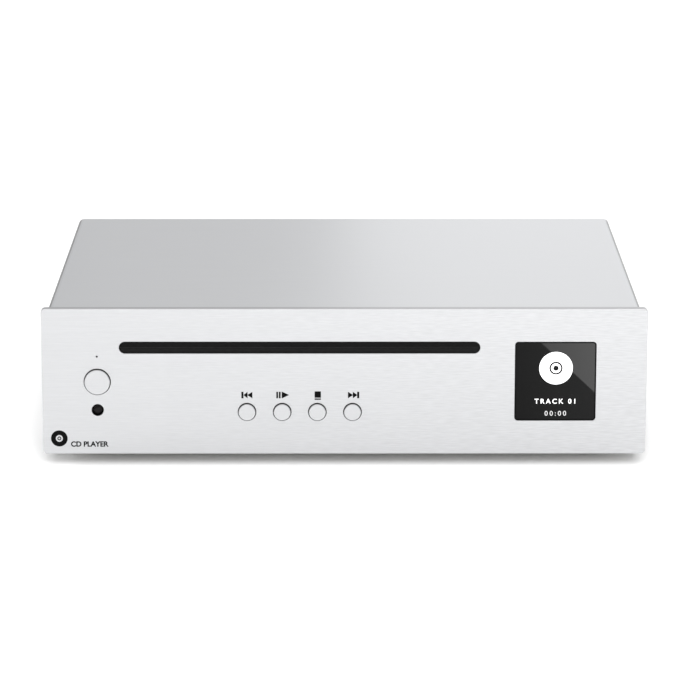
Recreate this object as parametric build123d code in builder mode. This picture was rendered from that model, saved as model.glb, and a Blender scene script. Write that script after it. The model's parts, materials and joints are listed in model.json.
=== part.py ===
from build123d import *
import os
from math import cos, floor, radians, sin

# Compact slot-loading CD player, half the width of a full-size hi-fi component.
# Millimetres. +X to the user's right, +Y from the front panel to the sockets, +Z up.
# The origin is on the surface the player stands on, under the middle of its box.

# ---------------------------------------------------------------- driving dimensions

# Front panel and casing
PANEL_W = 206.0
PANEL_H = 51.0
PANEL_T = 2.5
PANEL_CORNER_R = 1.5
PANEL_EDGE = 0.15
GROUND_GAP = 4.0
CAP_PROUD = 0.85
BODY_DEPTH = 156.0
JACK_PROUD = 9.0
SHEET = 1.0
COVER_W = 202.9
COVER_DROP = 1.4
COVER_BEND_R = 2.1
REAR_T = 1.5
REAR_RECESS = 0.5
FOOT_R = 9.0

# The standard 120 mm disc and the slot that it passes
DISC_R = 60.0
DISC_T = 1.2
DISC_BORE_R = 7.5
SLOT_W = 2 * DISC_R + 2.9
SLOT_H = 4.2
SLOT_X = -15.2
SLOT_UP = 37.4
FELT_FLANGE_W = SLOT_W + 4
FELT_FLANGE_H = 8.8

# Controls on the front panel, from the panel's middle and its bottom edge
DISPLAY_SIZE = 27.75
DISPLAY_CORNER_R = 1.2
DISPLAY_X = 71.9
DISPLAY_UP = 25.55
POWER_X = -84.15
POWER_UP = 25.4
POWER_CAP_R = 4.35
POWER_HOLE_R = 4.65
KEY_UP = 14.8
KEY_PITCH = 12.0
KEY_CAP_R = 2.9
KEY_HOLE_R = 3.2
IR_UP = 15.5
IR_R = 2.1
LED_UP = 34.26
LED_HOLE_R = 0.35
PRESS_TRAVEL = 0.6

# Gear teeth of the loading train
MODULE = 0.5
ROLLER_TEETH = 24
IDLER_TEETH = 20
PINION_TEETH = 12

# Fits
RUNNING = 0.05
CLEAR = 0.3
SCREW_R = 1.5

# ---------------------------------------------------------------- places that follow

FRONT_Y = -(BODY_DEPTH + CAP_PROUD + JACK_PROUD) / 2 + CAP_PROUD
PANEL_BACK_Y = FRONT_Y + PANEL_T
REAR_EDGE_Y = FRONT_Y + BODY_DEPTH
REAR_FACE_Y = REAR_EDGE_Y - REAR_RECESS
REAR_BACK_Y = REAR_FACE_Y - REAR_T
SOCKET_END_Y = REAR_EDGE_Y + JACK_PROUD

PANEL_MID_Z = GROUND_GAP + PANEL_H / 2
COVER_TOP_Z = GROUND_GAP + PANEL_H - COVER_DROP
COVER_UNDER_Z = COVER_TOP_Z - SHEET
PAN_UNDER_Z = GROUND_GAP + COVER_DROP
PAN_TOP_Z = PAN_UNDER_Z + SHEET
PAN_HALF_W = COVER_W / 2 - SHEET
WALL_TOP_Z = COVER_UNDER_Z - CLEAR
BEND_INSIDE_R = COVER_BEND_R - SHEET
UNDER_BEND_R = BEND_INSIDE_R + 0.2

DISC_Z = GROUND_GAP + SLOT_UP
DISPLAY_Z = GROUND_GAP + DISPLAY_UP
POWER_Z = GROUND_GAP + POWER_UP
KEY_Z = GROUND_GAP + KEY_UP
IR_Z = GROUND_GAP + IR_UP
LED_Z = GROUND_GAP + LED_UP
KEY_NAMES = ["previous", "play_pause", "stop_eject", "next"]
KEY_XS = [SLOT_X + (i - 1.5) * KEY_PITCH for i in range(len(KEY_NAMES))]

os.makedirs("parts", exist_ok=True)


def finish(builder, name):
    """Label a finished sub-part and write it as its own STEP file."""
    builder.part.label = name
    export_step(builder.part, f"parts/{name}.step")


def facing_front(y):
    """Sketch plane at depth y: X across, Z up, extruding towards the front."""
    return Plane.XZ.offset(-y)


def across(x):
    """Sketch plane at width x: Y across, Z up, extruding towards +X."""
    return Plane.YZ.offset(x)


def disc_between(plane, r, length, at=(0, 0)):
    """A round bar of one length, standing on a sketch plane."""
    with BuildSketch(plane) as section:
        with Locations(at):
            Circle(r)
    extrude(section.sketch, amount=length)


# ---------------------------------------------------------------- casing

FRONT_SCREWS = [(x, z) for x in (-94.0, 94.0) for z in (11.0, 48.0)]
REAR_SCREWS = [(x, z) for x in (-94.5, 94.5) for z in (12.0, 44.0)]
COVER_SCREW_YS = (-55.0, 50.0)
COVER_SCREW_Z = 11.0
SCREW_IN_PANEL = 1.8
SHOULDER_W = 1.0

# A thick aluminium plate, brushed along its length
with BuildPart() as front_panel:
    with BuildSketch(facing_front(PANEL_BACK_Y)):
        with Locations((0, PANEL_MID_Z)):
            RectangleRounded(PANEL_W, PANEL_H, PANEL_CORNER_R)
        with Locations((SLOT_X, DISC_Z)):
            SlotOverall(SLOT_W, SLOT_H, mode=Mode.SUBTRACT)
        with Locations((DISPLAY_X, DISPLAY_Z)):
            RectangleRounded(DISPLAY_SIZE, DISPLAY_SIZE, DISPLAY_CORNER_R, mode=Mode.SUBTRACT)
        with Locations((POWER_X, POWER_Z)):
            Circle(POWER_HOLE_R, mode=Mode.SUBTRACT)
        with Locations([(x, KEY_Z) for x in KEY_XS]):
            Circle(KEY_HOLE_R, mode=Mode.SUBTRACT)
        with Locations((POWER_X, IR_Z)):
            Circle(IR_R, mode=Mode.SUBTRACT)
    extrude(amount=PANEL_T)
    front_face = front_panel.faces().sort_by(Axis.Y)[0]
    chamfer(front_face.outer_wire().edges(), length=PANEL_EDGE)
    with BuildSketch(facing_front(PANEL_BACK_Y)):
        with Locations((POWER_X, LED_Z)):
            Circle(LED_HOLE_R)
    extrude(amount=PANEL_T, mode=Mode.SUBTRACT)
    with BuildSketch(facing_front(PANEL_BACK_Y)):
        with Locations(FRONT_SCREWS):
            Circle(SCREW_R)
    extrude(amount=SCREW_IN_PANEL, mode=Mode.SUBTRACT)
finish(front_panel, "front_panel")

# Inverted U of sheet steel, from the front panel to the back edge
with BuildPart() as top_cover:
    with BuildSketch(facing_front(REAR_EDGE_Y)):
        with Locations((0, PAN_UNDER_Z)):
            Rectangle(COVER_W, COVER_TOP_Z - PAN_UNDER_Z, align=(Align.CENTER, Align.MIN))
            Rectangle(
                COVER_W - 2 * SHEET,
                COVER_UNDER_Z - PAN_UNDER_Z,
                align=(Align.CENTER, Align.MIN),
                mode=Mode.SUBTRACT,
            )
    extrude(amount=REAR_EDGE_Y - PANEL_BACK_Y)
    bends = top_cover.edges().filter_by(Axis.Y).group_by(Axis.Z)
    fillet(bends[-1], radius=COVER_BEND_R)
    under_edges = top_cover.faces().filter_by(Axis.Z).sort_by(Axis.Z)[-2].edges()
    fillet(under_edges.filter_by(Axis.Y), radius=BEND_INSIDE_R)
    with BuildSketch(across(-COVER_W / 2)):
        with Locations([(y, COVER_SCREW_Z) for y in COVER_SCREW_YS]):
            Circle(SCREW_R)
    extrude(amount=COVER_W, mode=Mode.SUBTRACT)
finish(top_cover, "top_cover")

# Folded steel pan: floor, full front wall behind the panel, side flanges and rear corner tabs
FLANGE_TOP_Z = 17.0
TAB_W = 10.0
TAB_TOP_Z = 48.0
REAR_LIP_Z = 10.5
with BuildPart() as base_chassis:
    with BuildSketch(facing_front(REAR_BACK_Y)):
        with Locations((0, PAN_UNDER_Z)):
            Rectangle(2 * PAN_HALF_W, FLANGE_TOP_Z - PAN_UNDER_Z, align=(Align.CENTER, Align.MIN))
            with Locations((0, SHEET)):
                Rectangle(
                    2 * (PAN_HALF_W - SHEET),
                    FLANGE_TOP_Z,
                    align=(Align.CENTER, Align.MIN),
                    mode=Mode.SUBTRACT,
                )
    extrude(amount=REAR_BACK_Y - PANEL_BACK_Y)
    with BuildSketch(facing_front(PANEL_BACK_Y + SHEET)):
        with Locations((0, PAN_UNDER_Z)):
            Rectangle(2 * PAN_HALF_W, WALL_TOP_Z - PAN_UNDER_Z, align=(Align.CENTER, Align.MIN))
    extrude(amount=SHEET)
    wall_corners = base_chassis.edges().filter_by(Axis.Y).group_by(Axis.Z)[-1]
    fillet(wall_corners, radius=UNDER_BEND_R)
    with BuildSketch(facing_front(REAR_BACK_Y)):
        with Locations((0, PAN_UNDER_Z)):
            Rectangle(2 * PAN_HALF_W, REAR_LIP_Z - PAN_UNDER_Z, align=(Align.CENTER, Align.MIN))
        with Locations((-PAN_HALF_W, PAN_UNDER_Z)):
            Rectangle(TAB_W, TAB_TOP_Z - PAN_UNDER_Z, align=(Align.MIN, Align.MIN))
        with Locations((PAN_HALF_W, PAN_UNDER_Z)):
            Rectangle(TAB_W, TAB_TOP_Z - PAN_UNDER_Z, align=(Align.MAX, Align.MIN))
    extrude(amount=SHEET)
    # Openings of the front wall, each larger than what passes it
    with BuildSketch(facing_front(PANEL_BACK_Y + SHEET)):
        with Locations((SLOT_X, DISC_Z)):
            Rectangle(FELT_FLANGE_W + 2 * CLEAR, FELT_FLANGE_H + 2 * CLEAR)
        with Locations((DISPLAY_X, DISPLAY_Z)):
            Rectangle(DISPLAY_SIZE + 2 * CLEAR, DISPLAY_SIZE + 2 * CLEAR)
        with Locations((POWER_X, POWER_Z)):
            Circle(POWER_CAP_R + SHOULDER_W + 2 * CLEAR)
        with Locations([(x, KEY_Z) for x in KEY_XS]):
            Circle(KEY_CAP_R + SHOULDER_W + 2 * CLEAR)
        with Locations((POWER_X, IR_Z)):
            Circle(IR_R + CLEAR)
        with Locations((POWER_X, LED_Z)):
            Circle(IR_R)
        with Locations(FRONT_SCREWS):
            Circle(SCREW_R)
    extrude(amount=SHEET, mode=Mode.SUBTRACT)
    with BuildSketch(facing_front(REAR_BACK_Y)):
        with Locations(REAR_SCREWS):
            Circle(SCREW_R)
    extrude(amount=SHEET, mode=Mode.SUBTRACT)
    with BuildSketch(across(-PAN_HALF_W)):
        with Locations([(y, COVER_SCREW_Z) for y in COVER_SCREW_YS]):
            Circle(SCREW_R)
    extrude(amount=2 * PAN_HALF_W, mode=Mode.SUBTRACT)
finish(base_chassis, "base_chassis")

# Sockets along the back, by their middles; the board under them sets their height
SOCKET_Z = 20.2
RIGHT_OUT_X = -63.0
LEFT_OUT_X = -45.0
COAX_X = -22.0
OPTICAL_X = 2.0
POWER_IN_X = 74.0
RCA_NECK_R = 4.4
RCA_COLLAR_R = 5.2
RCA_COLLAR_T = 1.0
RCA_BARREL_R = 4.15
RCA_PIN_HOLE_R = 1.65
OPTICAL_W = 10.0
OPTICAL_H = 11.0
DC_NECK_R = 4.4
NECK_CLEAR = 0.1

with BuildPart() as rear_panel:
    with BuildSketch(facing_front(REAR_FACE_Y)):
        with Locations((0, PAN_UNDER_Z)):
            Rectangle(2 * PAN_HALF_W, COVER_UNDER_Z - PAN_UNDER_Z, align=(Align.CENTER, Align.MIN))
        with Locations([(x, SOCKET_Z) for x in (RIGHT_OUT_X, LEFT_OUT_X, COAX_X)]):
            Circle(RCA_NECK_R + NECK_CLEAR, mode=Mode.SUBTRACT)
        with Locations((POWER_IN_X, SOCKET_Z)):
            Circle(DC_NECK_R + NECK_CLEAR, mode=Mode.SUBTRACT)
        with Locations((OPTICAL_X, SOCKET_Z)):
            Rectangle(OPTICAL_W + 2 * NECK_CLEAR, OPTICAL_H + 2 * NECK_CLEAR, mode=Mode.SUBTRACT)
        with Locations(REAR_SCREWS):
            Circle(SCREW_R, mode=Mode.SUBTRACT)
    extrude(amount=REAR_T)
    top_corners = rear_panel.edges().filter_by(Axis.Y).group_by(Axis.Z)[-1]
    fillet(top_corners, radius=UNDER_BEND_R)
finish(rear_panel, "rear_panel")

# Rubber feet, bonded to the pan
FOOT_X = 86.0
FOOT_YS = {"front": -56.0, "rear": 58.0}
for end, foot_y in FOOT_YS.items():
    for side, foot_x in (("left", -FOOT_X), ("right", FOOT_X)):
        with BuildPart() as foot:
            with BuildSketch(Plane.XY):
                with Locations((foot_x, foot_y)):
                    Circle(FOOT_R)
            extrude(amount=PAN_UNDER_Z)
            fillet(foot.edges().group_by(Axis.Z)[0], radius=1.0)
        finish(foot, f"foot_{end}_{side}")

# Machine screws: a low round head with a cross recess, and a plain shank for the thread
HEAD_R = 2.75
HEAD_H = 1.3
RECESS_L = 2.8
RECESS_W = 0.6
RECESS_DEPTH = 0.7
COVER_SCREW_L = 4.0
SCREW_PAST_TAB = 1.0


def screw(head_plane, at, shank):
    """One screw. The plane lies under the head, and the head stands on its positive side."""
    disc_between(head_plane, HEAD_R, HEAD_H, at)
    disc_between(head_plane.offset(-shank), SCREW_R, shank, at)
    with BuildSketch(head_plane.offset(HEAD_H)) as recess:
        with Locations(at):
            Rectangle(RECESS_L, RECESS_W)
            Rectangle(RECESS_W, RECESS_L)
    extrude(recess.sketch, amount=-RECESS_DEPTH, mode=Mode.SUBTRACT)


with BuildPart() as cover_screws:
    for screw_y in COVER_SCREW_YS:
        screw(Plane.YZ.offset(COVER_W / 2), (screw_y, COVER_SCREW_Z), COVER_SCREW_L)
        screw(-Plane.YZ.offset(-COVER_W / 2), (screw_y, -COVER_SCREW_Z), COVER_SCREW_L)
finish(cover_screws, "cover_screws")

with BuildPart() as front_panel_screws:
    for screw_x, screw_z in FRONT_SCREWS:
        inward = Plane((screw_x, PANEL_BACK_Y + SHEET, screw_z), x_dir=(1, 0, 0), z_dir=(0, 1, 0))
        screw(inward, (0, 0), SHEET + SCREW_IN_PANEL)
finish(front_panel_screws, "front_panel_screws")

with BuildPart() as rear_panel_screws:
    for screw_x, screw_z in REAR_SCREWS:
        outward = Plane((screw_x, REAR_FACE_Y, screw_z), x_dir=(1, 0, 0), z_dir=(0, 1, 0))
        screw(outward, (0, 0), REAR_T + SHEET + SCREW_PAST_TAB)
finish(rear_panel_screws, "rear_panel_screws")

# ---------------------------------------------------------------- front controls

BOARD_T = 1.6
FRONT_BOARD_Y = -73.6
SWITCH_H = 3.5
SWITCH_W = 6.0
STEM_R = 1.5
STEM_IN = 0.3
STEM_CLEAR = 0.2
SWITCH_HOLE_DEPTH = PRESS_TRAVEL + STEM_IN + 0.8
CAP_EDGE = 0.2
SHOULDER_T = 1.0


def button(x, z, cap_r):
    """Turned cap, retaining shoulder behind the panel, and a stem into the switch below it."""
    cap_back_y = PANEL_BACK_Y + CLEAR
    shoulder_back_y = cap_back_y + SHOULDER_T
    stem_end_y = FRONT_BOARD_Y - SWITCH_H + STEM_IN
    disc_between(facing_front(cap_back_y), cap_r, cap_back_y - FRONT_Y + CAP_PROUD, (x, z))
    disc_between(facing_front(shoulder_back_y), cap_r + SHOULDER_W, SHOULDER_T, (x, z))
    disc_between(facing_front(stem_end_y), STEM_R, stem_end_y - shoulder_back_y, (x, z))


with BuildPart() as power_button:
    button(POWER_X, POWER_Z, POWER_CAP_R)
    chamfer(power_button.edges().group_by(Axis.Y)[0], length=CAP_EDGE)
finish(power_button, "power_button")

for key_name, key_x in zip(KEY_NAMES, KEY_XS):
    with BuildPart() as key:
        button(key_x, KEY_Z, KEY_CAP_R)
        chamfer(key.edges().group_by(Axis.Y)[0], length=CAP_EDGE)
    finish(key, f"{key_name}_button")

SWITCH_PLACES = [(POWER_X, POWER_Z)] + [(x, KEY_Z) for x in KEY_XS]
with BuildPart() as tact_switches:
    with BuildSketch(facing_front(FRONT_BOARD_Y)):
        with Locations(SWITCH_PLACES):
            Rectangle(SWITCH_W, SWITCH_W)
    extrude(amount=SWITCH_H)
    with BuildSketch(facing_front(FRONT_BOARD_Y - SWITCH_H)):
        with Locations(SWITCH_PLACES):
            Circle(STEM_R + STEM_CLEAR)
    extrude(amount=-SWITCH_HOLE_DEPTH, mode=Mode.SUBTRACT)
finish(tact_switches, "tact_switches")

# Glass pane just under the panel's face, with the screen module bonded to its back
GLASS_T = 2.0
GLASS_DOWN = 0.1
GLASS_GAP = 0.1
MODULE_T = 4.0
MODULE_MARGIN = 0.75
PLUG_W = 16.0
PLUG_H = 3.0
PLUG_DOWN = 9.0
glass_back_y = FRONT_Y + GLASS_DOWN + GLASS_T
with BuildPart() as display_window:
    with BuildSketch(facing_front(glass_back_y)):
        with Locations((DISPLAY_X, DISPLAY_Z)):
            RectangleRounded(
                DISPLAY_SIZE - 2 * GLASS_GAP,
                DISPLAY_SIZE - 2 * GLASS_GAP,
                DISPLAY_CORNER_R - GLASS_GAP,
            )
    extrude(amount=GLASS_T)
finish(display_window, "display_window")

with BuildPart() as display_module:
    with BuildSketch(facing_front(glass_back_y + MODULE_T)):
        with Locations((DISPLAY_X, DISPLAY_Z)):
            Rectangle(DISPLAY_SIZE - 2 * MODULE_MARGIN, DISPLAY_SIZE - 2 * MODULE_MARGIN)
    extrude(amount=MODULE_T)
    with BuildSketch(facing_front(FRONT_BOARD_Y)):
        with Locations((DISPLAY_X, DISPLAY_Z - PLUG_DOWN)):
            Rectangle(PLUG_W, PLUG_H)
    extrude(amount=FRONT_BOARD_Y - glass_back_y - MODULE_T)
finish(display_module, "display_module")

# Dark domed lens set back in the receiver's hole, the receiver and the standby lamp
IR_DOWN = 0.5
IR_DOME_R = 1.6
RECEIVER_T = 2.4
RECEIVER_W = 5.2
RECEIVER_H = 6.0
with BuildPart() as ir_lens:
    lens_back_y = FRONT_BOARD_Y - RECEIVER_T
    disc_between(
        facing_front(lens_back_y),
        IR_R - 0.02,
        lens_back_y - FRONT_Y - IR_DOWN,
        (POWER_X, IR_Z),
    )
    fillet(ir_lens.edges().group_by(Axis.Y)[0], radius=IR_DOME_R)
finish(ir_lens, "ir_lens")

with BuildPart() as ir_receiver:
    with BuildSketch(facing_front(FRONT_BOARD_Y)):
        with Locations((POWER_X, IR_Z)):
            Rectangle(RECEIVER_W, RECEIVER_H)
    extrude(amount=RECEIVER_T)
finish(ir_receiver, "ir_receiver")

LAMP_R = 1.5
LAMP_DOME_R = 1.2
LAMP_GAP = 0.2
with BuildPart() as standby_lamp:
    lamp_l = FRONT_BOARD_Y - PANEL_BACK_Y - LAMP_GAP
    disc_between(facing_front(FRONT_BOARD_Y), LAMP_R, lamp_l, (POWER_X, LED_Z))
    fillet(standby_lamp.edges().group_by(Axis.Y)[0], radius=LAMP_DOME_R)
finish(standby_lamp, "standby_lamp")

# Board behind the controls: low under the disc's path, tall at both ends
BOARD_LOW_Z = 9.0
BOARD_MID_Z = 31.0
BOARD_HIGH_Z = 46.0
BOARD_LEFT_Z = 42.0
BOARD_HALF_W = 92.0
BOARD_STEP_LEFT_X = -79.5
BOARD_STEP_RIGHT_X = 54.0
with BuildPart() as front_board:
    with BuildSketch(facing_front(FRONT_BOARD_Y + BOARD_T)):
        with BuildLine():
            Polyline(
                (-BOARD_HALF_W, BOARD_LOW_Z),
                (BOARD_HALF_W, BOARD_LOW_Z),
                (BOARD_HALF_W, BOARD_HIGH_Z),
                (BOARD_STEP_RIGHT_X, BOARD_HIGH_Z),
                (BOARD_STEP_RIGHT_X, BOARD_MID_Z),
                (BOARD_STEP_LEFT_X, BOARD_MID_Z),
                (BOARD_STEP_LEFT_X, BOARD_LEFT_Z),
                (-BOARD_HALF_W, BOARD_LEFT_Z),
                close=True,
            )
        make_face()
    extrude(amount=BOARD_T)
finish(front_board, "front_board")

# Two felt lips that fill the slot just under the panel's face, each with a flange behind the
# panel. They meet at the disc's plane and part round the disc.
FELT_T = 0.8
FELT_DOWN = 0.35
FELT_GAP = 0.04
LIP_GAP = 0.12
with BuildPart() as dust_felts:
    with BuildSketch(facing_front(PANEL_BACK_Y)):
        with Locations((SLOT_X, DISC_Z)):
            SlotOverall(SLOT_W - 2 * FELT_GAP, SLOT_H - 2 * FELT_GAP)
            Rectangle(SLOT_W, LIP_GAP, mode=Mode.SUBTRACT)
    extrude(amount=PANEL_T - FELT_DOWN)
    with BuildSketch(facing_front(PANEL_BACK_Y + FELT_T)):
        with Locations((SLOT_X, DISC_Z)):
            Rectangle(FELT_FLANGE_W, FELT_FLANGE_H)
            Rectangle(FELT_FLANGE_W, LIP_GAP, mode=Mode.SUBTRACT)
    extrude(amount=FELT_T)
finish(dust_felts, "dust_felts")

# ---------------------------------------------------------------- disc drive

# The drive hangs on four posts, centred on the slot; the disc turns about HUB
DRIVE_HALF_W = DISC_R + 6
DRIVE_FRONT_Y = -71.5
DRIVE_BACK_Y = 60.0
FLOOR_UNDER_Z = 26.0
FLOOR_TOP_Z = FLOOR_UNDER_Z + SHEET
LID_UNDER_Z = 47.5
LID_TOP_Z = LID_UNDER_Z + SHEET
HUB_Y = -10.0
DISC_UNDER_Z = DISC_Z - DISC_T / 2
DRIVE_LEFT_X = SLOT_X - DRIVE_HALF_W
DRIVE_RIGHT_X = SLOT_X + DRIVE_HALF_W

ROLLER_Y = -66.0
ROLLER_END_R = 4.0
ROLLER_MID_R = 3.4
ROLLER_Z = DISC_UNDER_Z - ROLLER_END_R
ROLLER_HALF_L = 56.0
SHAFT_R = 1.5
JOURNAL_R = 1.25
GEAR_X = DRIVE_LEFT_X + 2.7
GEAR_W = 3.0
IDLER_PIN_R = 1.0

ROD_R = 1.5
ROD_OFF_X = 20.0
ROD_Z = 33.0
ROD_FRONT_Y = -1.0
LENS_START_R = 23.0
SLED_FRONT_Y = HUB_Y + 13.5
SLED_BACK_Y = HUB_Y + 32.0
LEAD_X = SLOT_X + 29.0
LEAD_R = 2.0
LEAD_TIP_R = 0.8
LEAD_FRONT_Y = -6.0
MOTOR_R = 6.0
MOTOR_SHAFT_R = 0.75

EAR_XS = (DRIVE_LEFT_X - 5.3, DRIVE_RIGHT_X + 5.3)
EAR_YS = (-58.0, 46.0)
EAR_PLACES = [(x, y) for x in EAR_XS for y in EAR_YS]
EAR_W = 12.0
EAR_L = 13.0
GROMMET_NECK_R = 3.2

# Pitch radii and shaft places of the loading gears, all across X
roller_pitch_r = MODULE * ROLLER_TEETH / 2
idler_pitch_r = MODULE * IDLER_TEETH / 2
pinion_pitch_r = MODULE * PINION_TEETH / 2
IDLER_DIRECTION = -10.5
PINION_DIRECTION = -4.3
idler_y = ROLLER_Y + (roller_pitch_r + idler_pitch_r) * cos(radians(IDLER_DIRECTION))
idler_z = ROLLER_Z + (roller_pitch_r + idler_pitch_r) * sin(radians(IDLER_DIRECTION))
pinion_y = idler_y + (idler_pitch_r + pinion_pitch_r) * cos(radians(PINION_DIRECTION))
pinion_z = idler_z + (idler_pitch_r + pinion_pitch_r) * sin(radians(PINION_DIRECTION))

# Tooth phases that put a tooth of one gear in a gap of the next
idler_phase = IDLER_DIRECTION + 180 + 180 / IDLER_TEETH
idler_step = 360 / IDLER_TEETH
from_tooth = PINION_DIRECTION - idler_phase
past_tooth = from_tooth - idler_step * floor(from_tooth / idler_step)
pinion_phase = PINION_DIRECTION + 180 + past_tooth * IDLER_TEETH / PINION_TEETH + 180 / PINION_TEETH


def gear_outline(teeth, phase):
    """Points of a spur gear with straight flanks, one tooth centred at the phase angle."""
    pitch_r = MODULE * teeth / 2
    corners = ((-0.40, pitch_r - 1.15 * MODULE), (-0.15, pitch_r + 0.8 * MODULE))
    points = []
    for tooth in range(teeth):
        middle = radians(phase + tooth * 360 / teeth)
        for half_w, r in corners + tuple((-w, r) for w, r in reversed(corners)):
            angle = middle + half_w / r
            points.append((r * cos(angle), r * sin(angle)))
    return points


def spur_gear(x, y, z, teeth, phase):
    """A gear across X, from x to x + GEAR_W."""
    middle = across(x).shift_origin(Vector(x, y, z))
    with BuildSketch(middle) as section:
        with BuildLine():
            Polyline(*gear_outline(teeth, phase), close=True)
        make_face()
    extrude(section.sketch, amount=GEAR_W)


# Brackets on the drive's floor, and its front lip
SLED_WINDOW_MARGIN = 4.0
FRONT_LIP_H = 5.0
ROD_BRACKET_W = 6.0
ROD_BRACKET_H = 9.0
ROD_BRACKET_T = 4.0
MOTOR_BRACKET_H = 12.0
MOTOR_PLATE_H = 13.0
MOTOR_PLATE_GAP = 0.5
PINION_HOLE_R = 2.0
IDLER_PIN_L = GEAR_W + 3.2
with BuildPart() as drive_base:
    with BuildSketch(Plane.XY.offset(FLOOR_UNDER_Z)):
        with Locations((SLOT_X, (DRIVE_FRONT_Y + DRIVE_BACK_Y) / 2)):
            Rectangle(2 * DRIVE_HALF_W, DRIVE_BACK_Y - DRIVE_FRONT_Y)
        with Locations(EAR_PLACES):
            Rectangle(EAR_W, EAR_L)
            Circle(GROMMET_NECK_R, mode=Mode.SUBTRACT)
        with Locations((SLOT_X, (SLED_FRONT_Y + DRIVE_BACK_Y) / 2)):
            Rectangle(
                2 * (ROD_OFF_X - SLED_WINDOW_MARGIN),
                DRIVE_BACK_Y - SLED_FRONT_Y - 3 * SLED_WINDOW_MARGIN,
                mode=Mode.SUBTRACT,
            )
    extrude(amount=SHEET)
    # Side walls carry the roller's journals; the back wall carries the lead screw's tip
    for wall_x in (DRIVE_LEFT_X, DRIVE_RIGHT_X - SHEET):
        with BuildSketch(across(wall_x)):
            with Locations((DRIVE_FRONT_Y, FLOOR_UNDER_Z)):
                Rectangle(
                    DRIVE_BACK_Y - DRIVE_FRONT_Y,
                    LID_UNDER_Z - FLOOR_UNDER_Z,
                    align=(Align.MIN, Align.MIN),
                )
            with Locations((ROLLER_Y, ROLLER_Z)):
                Circle(JOURNAL_R + RUNNING, mode=Mode.SUBTRACT)
        extrude(amount=SHEET)
    with BuildSketch(facing_front(DRIVE_BACK_Y)):
        with Locations((SLOT_X, FLOOR_UNDER_Z)):
            Rectangle(2 * DRIVE_HALF_W, LID_UNDER_Z - FLOOR_UNDER_Z, align=(Align.CENTER, Align.MIN))
        with Locations((LEAD_X, ROD_Z)):
            Circle(LEAD_TIP_R + RUNNING, mode=Mode.SUBTRACT)
    extrude(amount=SHEET)
    with BuildSketch(facing_front(DRIVE_FRONT_Y + SHEET)):
        with Locations((SLOT_X, FLOOR_UNDER_Z)):
            Rectangle(2 * DRIVE_HALF_W, FRONT_LIP_H, align=(Align.CENTER, Align.MIN))
    extrude(amount=SHEET)
    # Brackets for the guide rods' front ends, the lead screw's motor and the loading motor
    with BuildSketch(facing_front(ROD_FRONT_Y + ROD_BRACKET_T)):
        with Locations([(SLOT_X + side * ROD_OFF_X, FLOOR_TOP_Z) for side in (-1, 1)]):
            Rectangle(ROD_BRACKET_W, ROD_BRACKET_H, align=(Align.CENTER, Align.MIN))
        with Locations([(SLOT_X + side * ROD_OFF_X, ROD_Z) for side in (-1, 1)]):
            Circle(ROD_R, mode=Mode.SUBTRACT)
    extrude(amount=ROD_BRACKET_T)
    with BuildSketch(facing_front(LEAD_FRONT_Y - MOTOR_PLATE_GAP)):
        with Locations((LEAD_X, FLOOR_TOP_Z)):
            Rectangle(2 * MOTOR_R, MOTOR_BRACKET_H, align=(Align.CENTER, Align.MIN))
        with Locations((LEAD_X, ROD_Z)):
            Circle(LEAD_R + 0.2, mode=Mode.SUBTRACT)
    extrude(amount=SHEET)
    with BuildSketch(across(GEAR_X + GEAR_W + MOTOR_PLATE_GAP)):
        with Locations((pinion_y, FLOOR_TOP_Z)):
            Rectangle(2 * MOTOR_R, MOTOR_PLATE_H, align=(Align.CENTER, Align.MIN))
        with Locations((pinion_y, pinion_z)):
            Circle(PINION_HOLE_R, mode=Mode.SUBTRACT)
    extrude(amount=SHEET)
    # Pin of the idler gear, riveted in the left wall
    disc_between(across(DRIVE_LEFT_X + SHEET / 2), IDLER_PIN_R, IDLER_PIN_L, (idler_y, idler_z))
finish(drive_base, "drive_base")

ARM_PIVOT_Y = 54.0
ARM_PIVOT_Z = 50.1
ARM_PIN_R = 0.75
ARM_T = 0.8
ARM_HALF_W = 9.0
ARM_UNDER_Z = ARM_PIVOT_Z - ARM_T / 2
PUCK_R = 16.0
PUCK_NECK_R = 5.0
EAR_OFF_X = 12.0
HINGE_EAR_L = 5.0
HINGE_EAR_H = 3.0
LID_MARGIN = 2.0
with BuildPart() as drive_lid:
    with BuildSketch(Plane.XY.offset(LID_UNDER_Z)):
        with Locations((SLOT_X, (DRIVE_FRONT_Y + DRIVE_BACK_Y) / 2)):
            Rectangle(2 * DRIVE_HALF_W, DRIVE_BACK_Y - DRIVE_FRONT_Y)
        with Locations((SLOT_X, HUB_Y)):
            Circle(PUCK_R + LID_MARGIN, mode=Mode.SUBTRACT)
        with Locations((SLOT_X, HUB_Y)):
            Rectangle(
                2 * (ARM_HALF_W + LID_MARGIN),
                ARM_PIVOT_Y + 3 - HUB_Y,
                align=(Align.CENTER, Align.MIN),
                mode=Mode.SUBTRACT,
            )
    extrude(amount=SHEET)
    for ear_x in (SLOT_X - EAR_OFF_X - SHEET, SLOT_X + EAR_OFF_X):
        with BuildSketch(across(ear_x)):
            with Locations((ARM_PIVOT_Y, LID_TOP_Z)):
                Rectangle(HINGE_EAR_L, HINGE_EAR_H, align=(Align.CENTER, Align.MIN))
            with Locations((ARM_PIVOT_Y, ARM_PIVOT_Z)):
                Circle(ARM_PIN_R, mode=Mode.SUBTRACT)
        extrude(amount=SHEET)
finish(drive_lid, "drive_lid")

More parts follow.
